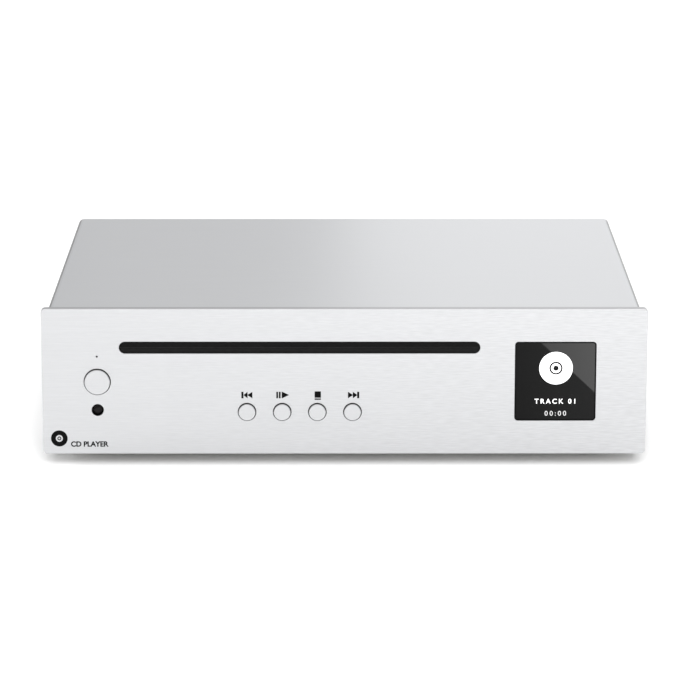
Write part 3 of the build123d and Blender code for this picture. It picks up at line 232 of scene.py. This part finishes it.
def brushed_metal(name, low, high, rough, depth=0.02 * MM, strength=0.12):
    """Metal brushed along X: long fine scratches in its colour, roughness and relief."""
    shader = Shader(name)
    scratches = shader.noise(BRUSHED_GRAIN, detail=3, roughness=0.6)
    broad = shader.noise(tuple(g / 3 for g in BRUSHED_GRAIN), detail=2)
    shader.colour(shader.ramp(scratches, low, high))
    shader.join(shader.spread(broad, rough - 0.05, rough + 0.05), shader.surface.inputs["Roughness"])
    shader.set(Metallic=1.0)
    shader.bump(scratches, strength, depth)
    return shader.material


def brushed_panel(name):
    """The front's brushed aluminium: long scratches, and short flecks faded in towards the right as a
    painted sheen where light catches the brushing.
    """
    shader = Shader(name)
    scratches = shader.noise(BRUSHED_GRAIN, detail=3, roughness=0.6)
    flecks = shader.noise((230, 2400, 2400), detail=1)
    base = shader.ramp(scratches, PANEL_LOW, PANEL_HIGH)
    dark = tuple(c * FLECK_DARK for c in PANEL_LOW)
    bright = tuple(c * FLECK_BRIGHT for c in PANEL_HIGH)
    # Painted sheen: the flecks show more strongly towards the right
    sheen_share = shader.past("X", SHEEN_START_X, SHEEN_FADE)
    shader.colour(shader.blend(sheen_share, base, shader.ramp(flecks, dark, bright)))
    shader.join(shader.spread(flecks, 0.31, 0.41), shader.surface.inputs["Roughness"])
    shader.set(Metallic=1.0)
    shader.bump(scratches, 0.10, 0.02 * MM)
    return shader.material


# How far in from each side the painted shade on the bends starts to fade, over what width, and how far down
# it goes
BEND_SHADE_EDGE = 0.85 * MM
BEND_SHADE_FADE = 0.6 * MM
BEND_SHADE_DROP = 1.6 * MM


def coated_cover(name):
    """Satin silver coat on sheet steel, with painted shade: dark lines along the bends at the top's side
    edges, and the sides painted darker than the top.
    """
    shader = Shader(name)
    grain = shader.noise((60, 1800, 1800), detail=3, roughness=0.6)
    coat = shader.ramp(grain, (0.82, 0.83, 0.848), (0.845, 0.855, 0.873))
    # Painted shade: near-black colour on the bends at the top's side edges, standing in for the shade there
    thin = shader.ramp(grain, (0.22, 0.225, 0.23), (0.26, 0.265, 0.27))
    flat = shader.times(
        shader.past("X", cover_lo.x + BEND_SHADE_EDGE, BEND_SHADE_FADE),
        shader.past("X", cover_hi.x - BEND_SHADE_EDGE, -BEND_SHADE_FADE),
    )
    # Painted shade: the sides below the bends are painted darker than the top, in the same coat
    side_shade_coat = shader.ramp(grain, (0.60, 0.605, 0.615), (0.63, 0.635, 0.645))
    upper = shader.past("Z", cover_hi.z - BEND_SHADE_DROP)
    side = shader.blend(upper, side_shade_coat, thin)
    shader.colour(shader.blend(flat, side, coat))
    shader.join(shader.spread(grain, 0.33, 0.39), shader.surface.inputs["Roughness"])
    shader.set(Metallic=1.0)
    shader.bump(grain, 0.05, 0.02 * MM)
    return shader.material


# Depth behind the caps' front past which they are painted black, as painted shade in the gap round each cap
CAP_LIT_DEPTH = 0.25 * MM


def cap_with_gap_shade(name, low, high):
    """A brushed metal cap standing proud of the panel. Deeper than a set depth behind its front it is black
    and not metallic, painted shade in the gap round the cap.
    """
    shader = Shader(name)
    scratches = shader.noise(BRUSHED_GRAIN, detail=3, roughness=0.6)
    # Painted shade: black and not metallic deeper in than the cap's front rim
    body = shader.past("Y", CAP_FRONT_Y + CAP_LIT_DEPTH)
    black = shader.ramp(scratches, grey(0.006), grey(0.010))
    shader.colour(shader.blend(body, shader.ramp(scratches, low, high), black))
    shader.join(shader.spread(body, 1.0, 0.0, start=0, end=1), shader.surface.inputs["Metallic"])
    shader.join(shader.spread(scratches, 0.32, 0.42), shader.surface.inputs["Roughness"])
    shader.bump(scratches, 0.12, 0.02 * MM)
    return shader.material


def plain_metal(name, low, high, rough):
    """Sheet or turned metal with faint mottling."""
    shader = Shader(name)
    mottle = shader.noise((400, 400, 400), detail=4)
    shader.colour(shader.ramp(mottle, low, high))
    shader.join(shader.spread(mottle, rough - 0.05, rough + 0.08), shader.surface.inputs["Roughness"])
    shader.set(Metallic=1.0)
    shader.bump(mottle, 0.05, 0.02 * MM)
    return shader.material


def moulded(name, low, high, rough, grain=3000, strength=0.15, level=0.5):
    """Moulded plastic or rubber with a fine surface grain."""
    shader = Shader(name)
    fine = shader.noise((grain,) * 3, detail=3)
    shader.colour(shader.ramp(fine, low, high))
    shader.join(shader.spread(fine, rough - 0.06, rough + 0.06), shader.surface.inputs["Roughness"])
    shader.surface.inputs["Specular IOR Level"].default_value = level
    shader.bump(fine, strength, 0.03 * MM)
    return shader.material


def window_glass(name):
    """Black glass whose reflection is made stronger from left to right: a painted reflection standing for
    the brighter glare on the right.
    """
    shader = Shader(name)
    haze = shader.noise((90, 90, 90), detail=2)
    shader.colour(shader.ramp(haze, grey(0.0045), grey(0.005)))
    shader.join(shader.spread(haze, 0.02, 0.04), shader.surface.inputs["Roughness"])
    coords = shader.add("ShaderNodeTexCoord")
    split = shader.add("ShaderNodeSeparateXYZ")
    shader.join(coords.outputs["Object"], split.inputs["Vector"])
    # Painted reflection: specular level rising from left to right across the glass
    level = shader.spread(split.outputs["X"], 0.065, 0.115, start=glass_lo.x, end=glass_hi.x)
    shader.join(level, shader.surface.inputs["Specular IOR Level"])
    return shader.material


RCA_INSULATOR_R = 3.35 * MM
DC_PIN_R = 1.1 * MM


def rca_socket(name, mount, insulator):
    """Gold shell round a coloured insulator, on a black housing behind the rear panel."""
    shader = Shader(name)
    mottle = shader.noise((400, 400, 400), detail=4)
    axis = (MOUNTS[mount].x, SOCKET_Z)
    outside = shader.past("Y", BACK_Y - 0.1 * MM)
    shell = shader.times(shader.beyond(axis, RCA_INSULATOR_R), outside)
    gold = shader.ramp(mottle, (0.78, 0.57, 0.22), (0.86, 0.66, 0.30))
    ring_colour = shader.ramp(mottle, tuple(c * 0.92 for c in insulator), insulator)
    black = shader.ramp(mottle, grey(0.014), grey(0.022))
    plastic = shader.blend(outside, black, ring_colour)
    shader.colour(shader.blend(shell, plastic, gold))
    shader.join(shell, shader.surface.inputs["Metallic"])
    shader.join(shader.spread(mottle, 0.2, 0.32), shader.surface.inputs["Roughness"])
    shader.bump(mottle, 0.05, 0.02 * MM)
    return shader.material


def pin_in_plastic(name, centre, radius):
    """Black plastic with a bright plated pin on an axis along Y."""
    shader = Shader(name)
    fine = shader.noise((3000,) * 3, detail=3)
    plastic = shader.beyond((centre.x, centre.z), radius)
    black = shader.ramp(fine, grey(0.014), grey(0.022))
    shader.colour(shader.blend(plastic, shader.ramp(fine, grey(0.66), grey(0.72)), black))
    shader.join(shader.spread(plastic, 1.0, 0.0, start=0, end=1), shader.surface.inputs["Metallic"])
    shader.join(shader.spread(plastic, 0.25, 0.45, start=0, end=1), shader.surface.inputs["Roughness"])
    shader.bump(fine, 0.15, 0.03 * MM)
    return shader.material


def polished(name, colour, rough, level=0.5):
    """Polished glass or plastic with the faintest unevenness."""
    shader = Shader(name)
    haze = shader.noise((90, 90, 90), detail=2)
    shader.colour(shader.ramp(haze, tuple(c * 0.9 for c in colour), colour))
    shader.join(shader.spread(haze, rough, rough + 0.02), shader.surface.inputs["Roughness"])
    shader.surface.inputs["Specular IOR Level"].default_value = level
    return shader.material


def felt(name):
    """Black felt: tangled fibres along the slot, lighter where the two lips meet."""
    shader = Shader(name)
    fibres = shader.noise((900, 5000, 5000), detail=5, roughness=0.7)
    middle_z = (felt_lo.z + felt_hi.z) / 2
    upper = shader.blend(
        shader.past("Z", middle_z + 0.15 * MM),
        shader.ramp(fibres, grey(0.022), grey(0.034)),
        shader.ramp(fibres, grey(0.006), grey(0.014)),
    )
    lower = shader.ramp(fibres, grey(0.009), grey(0.020))
    shader.colour(shader.blend(shader.past("Z", middle_z - 0.1 * MM), lower, upper))
    shader.set(Roughness=0.95)
    shader.surface.inputs["Specular IOR Level"].default_value = 0.1
    shader.surface.inputs["Sheen Weight"].default_value = 0.05
    shader.surface.inputs["Sheen Roughness"].default_value = 0.5
    shader.bump(fibres, 0.6, 0.1 * MM)
    return shader.material


def glowing(name, colour, strength):
    """A lit part of the screen, with the screen's fine rows of pixels."""
    shader = Shader(name)
    rows = shader.noise((4000, 4000, 4000), detail=1)
    shader.colour(shader.ramp(rows, tuple(c * 0.96 for c in colour), colour))
    shader.join(
        shader.ramp(rows, tuple(c * 0.97 for c in colour), colour),
        shader.surface.inputs["Emission Color"],
    )
    shader.surface.inputs["Emission Strength"].default_value = strength
    shader.set(Roughness=0.4)
    return shader.material


MATERIALS = {
    "panel_aluminium": brushed_panel("panel_aluminium"),
    "cover_steel": coated_cover("cover_steel"),
    "rear_aluminium": brushed_metal("rear_aluminium", grey(0.66), grey(0.74), 0.4),
    "pan_steel": plain_metal("pan_steel", (0.56, 0.56, 0.54), (0.64, 0.64, 0.62), 0.4),
    "plated_steel": plain_metal("plated_steel", grey(0.62), grey(0.70), 0.25),
    "black_rubber": moulded("black_rubber", grey(0.018), grey(0.030), 0.75, grain=1500),
    "black_glass": window_glass("black_glass"),
    "dark_lens": polished("dark_lens", (0.006, 0.004, 0.005), 0.12, level=0.16),
    "clear_lens": polished("clear_lens", (0.35, 0.40, 0.60), 0.03),
    "black_plastic": moulded("black_plastic", grey(0.014), grey(0.022), 0.45),
    "lamp_plastic": polished("lamp_plastic", (0.70, 0.72, 0.78), 0.15),
    "white_plastic": moulded("white_plastic", (0.72, 0.72, 0.70), (0.78, 0.78, 0.75), 0.5),
    "circuit_board": moulded("circuit_board", (0.010, 0.080, 0.030), (0.016, 0.110, 0.045), 0.35),
    "capacitor_can": moulded("capacitor_can", (0.020, 0.022, 0.040), (0.030, 0.032, 0.055), 0.3),
    "plated_brass": plain_metal("plated_brass", (0.78, 0.57, 0.22), (0.86, 0.66, 0.30), 0.22),
    "black_felt": felt("black_felt"),
}


CAP_METAL = cap_with_gap_shade("cap_metal", PANEL_LOW, PANEL_HIGH)
NODE_MATERIALS = {
    "power_button": CAP_METAL,
    "previous_button": CAP_METAL,
    "play_pause_button": CAP_METAL,
    "stop_eject_button": CAP_METAL,
    "next_button": CAP_METAL,
    "left_output_socket": rca_socket("left_socket", "left_output", (0.75, 0.75, 0.72)),
    "right_output_socket": rca_socket("right_socket", "right_output", (0.55, 0.02, 0.02)),
    "coax_output_socket": rca_socket("coax_socket", "coax_output", (0.70, 0.22, 0.01)),
    "standby_lamp": polished("unlit_lamp", (0.020, 0.022, 0.030), 0.20, level=0.2),
    "power_inlet": pin_in_plastic("inlet", MOUNTS["power_in"], DC_PIN_R),
}


def finish_cad_nodes():
    """Every carried-over CAD node takes its own material, or else the one of its slot."""
    for part in frame["record"]["subparts"]:
        node = frame["nodes"][part["node"]]
        node.data.materials.clear()
        own = NODE_MATERIALS.get(part["node"])
        node.data.materials.append(own or MATERIALS[part["material_slot"]])


finish_cad_nodes()

PRINT_BLACK = moulded("print_black", grey(0.002), grey(0.004), 0.6, level=0.08)
SCREEN_WHITE = glowing("screen_white", (1.0, 1.0, 1.0), 1.0)
SCREEN_GREY = glowing("screen_grey", (0.55, 0.55, 0.55), 1.0)

# ---------------------------------------------------------------- pieces


def new_piece(name, mesh, material, body):
    """Turns a mesh into a piece that rides on a body."""
    piece = bpy.data.objects.new(name, mesh)
    bpy.context.scene.collection.objects.link(piece)
    mesh.materials.clear()
    mesh.materials.append(material)
    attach(piece, body)
    return piece


PRINT_T = 0.02 * MM


def print_shapes(name, shapes, y, material):
    """Flat shapes on the front, each a closed outline of (x, z) points, as one thin printed piece."""
    build = bmesh.new()
    for outline in shapes:
        face = build.faces.new([build.verts.new((x, y, z)) for x, z in outline])
        face.normal_update()
        if face.normal.y > 0:
            face.normal_flip()
    solid = bmesh.ops.extrude_face_region(build, geom=list(build.faces))
    raised = [v for v in solid["geom"] if isinstance(v, bmesh.types.BMVert)]
    bmesh.ops.translate(build, verts=raised, vec=(0, -PRINT_T, 0))
    bmesh.ops.recalc_face_normals(build, faces=build.faces)
    mesh = bpy.data.meshes.new(name)
    build.to_mesh(mesh)
    build.free()
    return new_piece(name, mesh, material, "chassis")


def bar(left, right, bottom, top):
    return [(left, bottom), (right, bottom), (right, top), (left, top)]


def arrow(base_x, tip_x, bottom, top):
    return [(base_x, bottom), (tip_x, (bottom + top) / 2), (base_x, top)]


def ring(cx, cz, outer, inner, steps=72):
    """An annulus as a row of four-sided pieces."""
    shapes = []
    for i in range(steps):
        a, b = (2 * math.pi * j / steps for j in (i, i + 1))
        shapes.append([
            (cx + inner * math.cos(a), cz + inner * math.sin(a)),
            (cx + outer * math.cos(a), cz + outer * math.sin(a)),
            (cx + outer * math.cos(b), cz + outer * math.sin(b)),
            (cx + inner * math.cos(b), cz + inner * math.sin(b)),
        ])
    return shapes


# Symbols' height over the panel's bottom edge and their main sizes
SYMBOL_UP = 19.6 * MM
SYMBOL_H = 2.3 * MM
SYMBOL_LINE = 0.72 * MM
PAUSE_LINE = 0.60 * MM
STOP_SIDE = 2.15 * MM


def add_symbols():
    """Transport symbols over the four keys."""
    keys = {name: middle(f"{name}_button").x for name in ("previous", "play_pause", "stop_eject", "next")}
    bottom = PANEL_BOTTOM + SYMBOL_UP
    top = bottom + SYMBOL_H
    x = keys["previous"] - 1.9 * MM
    print_shapes("previous_symbol", [
        bar(x, x + SYMBOL_LINE, bottom, top),
        arrow(x + 2.1 * MM, x + SYMBOL_LINE, bottom, top),
        arrow(x + 3.75 * MM, x + 2.0 * MM, bottom, top),
    ], FACE_Y, PRINT_BLACK)
    x = keys["play_pause"] - 1.99 * MM
    print_shapes("play_pause_symbol", [
        bar(x, x + PAUSE_LINE, bottom, top),
        bar(x + 0.88 * MM, x + 0.88 * MM + PAUSE_LINE, bottom, top),
        arrow(x + 1.84 * MM, x + 4.34 * MM, bottom - 0.05 * MM, top + 0.1 * MM),
    ], FACE_Y, PRINT_BLACK)
    x = keys["stop_eject"] - 0.93 * MM
    print_shapes("stop_eject_symbol", [
        bar(x, x + STOP_SIDE, bottom + 0.2 * MM, top + 0.15 * MM),
        bar(x, x + STOP_SIDE, bottom - 0.52 * MM, bottom - 0.05 * MM),
    ], FACE_Y, PRINT_BLACK)
    x = keys["next"] - 1.55 * MM
    print_shapes("next_symbol", [
        arrow(x, x + 1.75 * MM, bottom, top),
        arrow(x + 1.65 * MM, x + 3.2 * MM, bottom, top),
        bar(x + 3.12 * MM, x + 3.12 * MM + SYMBOL_LINE, bottom, top),
    ], FACE_Y, PRINT_BLACK)


add_symbols()

# Height of a capital letter in a font of size 1
CAPITAL_SHARE = 0.73


def lettering(name, words, x, base, height, y, material, bold=0.0, spacing=1.0,
              centred=False, behind=False):
    """Upright letters of one capital height on a vertical face, printed as a thin solid."""
    data = bpy.data.curves.new(name, "FONT")
    data.body = words
    data.size = height / CAPITAL_SHARE
    data.offset = bold
    data.space_character = spacing
    data.extrude = PRINT_T / 2
    data.align_x = "CENTER" if centred else "LEFT"
    data.resolution_u = 4
    writing = bpy.data.objects.new(name, data)
    bpy.context.scene.collection.objects.link(writing)
    bpy.context.view_layer.update()
    mesh = bpy.data.meshes.new_from_object(writing.evaluated_get(bpy.context.evaluated_depsgraph_get()))
    bpy.data.objects.remove(writing)
    turn = Matrix.Rotation(math.pi, 4, "Z") if behind else Matrix.Identity(4)
    side = 1 if behind else -1
    upright = Matrix.Rotation(math.pi / 2, 4, "X")
    mesh.transform(Matrix.Translation((x, y + side * PRINT_T / 2, base)) @ turn @ upright)
    mesh.name = name
    return new_piece(name, mesh, material, "chassis")


def add_panel_mark():
    """A plain disc sign and the words for what the object is, at the panel's bottom left corner."""
    radius = 2.85 * MM
    x = panel_lo.x + 5.55 * MM
    z = PANEL_BOTTOM + 5.45 * MM
    shapes = ring(x, z, radius, radius * 0.42) + ring(x, z, radius * 0.24, radius * 0.12, steps=36)
    print_shapes("disc_sign", shapes, FACE_Y, PRINT_BLACK)
    words_left = panel_lo.x + 9.45 * MM
    words_base = PANEL_BOTTOM + 2.6 * MM
    lettering("panel_words", "CD PLAYER", words_left, words_base, 1.85 * MM,
              FACE_Y, PRINT_BLACK, bold=0.09 * MM, spacing=0.98)


add_panel_mark()


def rounded_square(cx, cz, half, corner, steps=8):
    """Outline of a square with round corners, anticlockwise from the right side's top."""
    points = []
    for turn in range(4):
        side_x, side_z = ((1, 1), (-1, 1), (-1, -1), (1, -1))[turn]
        for i in range(steps + 1):
            angle = math.pi / 2 * (turn + i / steps)
            points.append((
                cx + side_x * (half - corner) + corner * math.cos(angle),
                cz + side_z * (half - corner) + corner * math.sin(angle),
            ))
    return points


def frame_of(outer, inner):
    """A closed band between two outlines with the same number of points."""
    count = len(outer)
    return [
        [inner[i], outer[i], outer[(i + 1) % count], inner[(i + 1) % count]]
        for i in range(count)
    ]


def add_glass_border():
    """Black border printed round the glass."""
    half = (glass_hi.x - glass_lo.x) / 2
    corner = 1.1 * MM
    width = 0.4 * MM
    print_shapes("glass_border", frame_of(
        rounded_square(GLASS_MID.x, GLASS_MID.z, half, corner),
        rounded_square(GLASS_MID.x, GLASS_MID.z, half - width, corner - width),
    ), glass_lo.y, PRINT_BLACK)


add_glass_border()


def add_screen():
    """Lit screen image on the glass: a disc sign and plain track and time figures."""
    y = glass_lo.y
    x = GLASS_MID.x + 0.15 * MM
    radius = 5.7 * MM
    z = GLASS_MID.z + 4.6 * MM
    shapes = ring(x, z, radius, radius * 0.40) + ring(x, z, radius * 0.30, radius * 0.16, steps=48)
    print_shapes("screen_disc", shapes, y, SCREEN_WHITE)
    lettering("screen_track", "TRACK 01", x, GLASS_MID.z - 7.85 * MM, 1.75 * MM, y, SCREEN_WHITE,
              bold=0.03 * MM, spacing=1.42, centred=True)
    lettering("screen_time", "00:00", x, GLASS_MID.z - 12.1 * MM, 1.75 * MM, y, SCREEN_GREY,
              bold=0.01 * MM, spacing=1.45, centred=True)


add_screen()

PRINT_DARK = moulded("print_dark", grey(0.010), grey(0.016), 0.5)


def add_rear_words():
    """Plain names of the sockets, printed over each on the rear panel."""
    height = 1.9 * MM
    line_pitch = 4.2 * MM
    base = SOCKET_Z + 8.6 * MM
    words = {
        "right_output": "R",
        "left_output": "L",
        "coax_output": "COAX",
        "optical_output": "OPTICAL",
        "power_in": "DC IN",
    }
    for mount, word in words.items():
        lettering(f"{mount}_word", word, MOUNTS[mount].x, base, height, BACK_Y, PRINT_DARK,
                  bold=0.02 * MM, centred=True, behind=True)
    outputs_x = (MOUNTS["left_output"].x + MOUNTS["right_output"].x) / 2
    lettering("outputs_word", "LINE OUT", outputs_x, base + line_pitch, height, BACK_Y,
              PRINT_DARK, bold=0.02 * MM, centred=True, behind=True)


add_rear_words()

# ---------------------------------------------------------------- studio

FLOOR_SIZE = 8.0


def add_floor():
    """A plain white floor."""
    build = bmesh.new()
    bmesh.ops.create_grid(build, x_segments=8, y_segments=8, size=FLOOR_SIZE / 2)
    mesh = bpy.data.meshes.new("floor")
    build.to_mesh(mesh)
    build.free()
    floor = bpy.data.objects.new("floor", mesh)
    bpy.context.scene.collection.objects.link(floor)
    shader = Shader("floor_white")
    shader.set(Roughness=0.9)
    shader.surface.inputs["Base Color"].default_value = (0.95, 0.95, 0.95, 1)
    shader.surface.inputs["Specular IOR Level"].default_value = 0.0
    mesh.materials.append(shader.material)


add_floor()


def new_light(name, width, height, power):
    """A rectangular light that the camera doesn't see."""
    data = bpy.data.lights.new(name, "AREA")
    data.shape = "RECTANGLE"
    data.size = width
    data.size_y = height
    data.energy = power
    light = bpy.data.objects.new(name, data)
    light.visible_camera = False
    bpy.context.scene.collection.objects.link(light)
    return light


def area_light(name, place, target, width, height, power):
    """A rectangular light at a place, turned to a target."""
    light = new_light(name, width, height, power)
    light.location = place
    light.rotation_euler = (Vector(target) - Vector(place)).to_track_quat("-Z", "Y").to_euler()
    return light


def light_only(light, name, *receivers):
    """Lets a light reach only the named objects."""
    group = bpy.data.collections.new(name)
    for receiver in receivers:
        group.objects.link(receiver)
    light.light_linking.receiver_collection = group


def light_all_but(light, name, excluded):
    """Lets a light reach everything except one object."""
    light_only(light, name, excluded)
    group = light.light_linking.receiver_collection
    group.collection_objects[0].light_linking.link_state = "EXCLUDE"


# The card's power, place and size, and where its edge crosses the glass's top and right sides
GLARE_POWER = 0.12
GLARE_CARD_AHEAD = 70 * MM
GLARE_CARD_SIZE = (80 * MM, 60 * MM)
GLARE_TOP_SHARE = 0.31
GLARE_SIDE_SHARE = 0.345


def add_glass_glare():
    """A small card of light in front of the glass, whose lower left edge crosses it slantwise."""
    reach = GLARE_CARD_AHEAD / CAMERA_AHEAD

    def mirrored(x, z):
        """Where the view ray that the glass reflects at (x, z) meets the card."""
        return Vector((
            x + (x - camera.location.x) * reach,
            glass_lo.y - GLARE_CARD_AHEAD,
            z + (z - camera.location.z) * reach,
        ))

    size = glass_hi - glass_lo
    high = mirrored(glass_lo.x + GLARE_TOP_SHARE * size.x, glass_hi.z)
    low = mirrored(glass_hi.x, glass_lo.z + GLARE_SIDE_SHARE * size.z)
    along = (low - high).normalized()
    outward = Vector((-along.z, 0, along.x))
    facing = Vector((0, 1, 0))
    length, width = GLARE_CARD_SIZE
    light = new_light("glass_glare", length, width, GLARE_POWER)
    axes = Matrix((along, outward, -facing)).transposed()
    light.matrix_world = Matrix.Translation((high + low) / 2 + outward * width / 2) @ axes.to_4x4()
    light_only(light, "glare_on_glass", frame["nodes"]["display_window"])


add_glass_glare()


def add_world(strength):
    """Even white light from all round."""
    world = bpy.data.worlds.new("studio")
    world.use_nodes = True
    background = world.node_tree.nodes["Background"]
    background.inputs["Color"].default_value = (1, 1, 1, 1)
    background.inputs["Strength"].default_value = strength
    bpy.context.scene.world = world


# Strength of the even light, and places of the lights in metres
WORLD_STRENGTH = 0.57
SKY_PLACE = (0.1, -0.1, 1.6)
BACK_CARD_Y = 0.60
BACK_CARD_Z = 0.225
BACK_CARD_H = 0.45


def add_back_card(name, x, width, power):
    """A card of light behind the casing that its top mirrors."""
    area_light(name, (x, BACK_CARD_Y, BACK_CARD_Z), (x, 0, BACK_CARD_Z), width, BACK_CARD_H, power)


def add_studio_lights():
    """Soft light on the player from above, behind and the right, and light on the floor alone."""
    floor = bpy.data.objects["floor"]
    light_only(area_light("overhead_on_floor", SKY_PLACE, (0, 0, 0), 1.6, 1.6, 15), "overhead_reach", floor)
    light_all_but(area_light("top_light", SKY_PLACE, (0, 0, 0), 2.4, 2.4, 7), "top_light_reach", floor)
    add_back_card("back_card", 0.35, 0.7, 0.385)
    add_back_card("back_card_edge", 0.06, 0.42, 0.035)
    area_light("right_card", (0.42, -1.0, 0.20), (0, 0, 0.03), 0.6, 0.4, 0.9)
    front = area_light("floor_light", (0.05, -1.2, 0.62), (0, 0, 0), 0.6, 1.1, 15)
    light_only(front, "floor_light_on_floor", floor)
    left = area_light("left_floor_light", (-0.8, 0.45, 0.4), (-0.17, 0.02, 0), 0.3, 0.3, 0.12)
    left.data.spread = math.radians(40)
    light_only(left, "left_floor_light_on_floor", floor)
    far = area_light("far_floor_light", (0, 1.25, 0.8), (0, 1.25, 0), 2.0, 1.0, 5)
    far.data.spread = math.radians(70)
    light_only(far, "far_floor_light_on_floor", floor)


add_world(WORLD_STRENGTH)
add_studio_lights()

scene = bpy.context.scene
scene.view_settings.view_transform = "Standard"
scene.view_settings.look = "None"
scene.view_settings.exposure = 0.0
scene.view_settings.gamma = 1.0
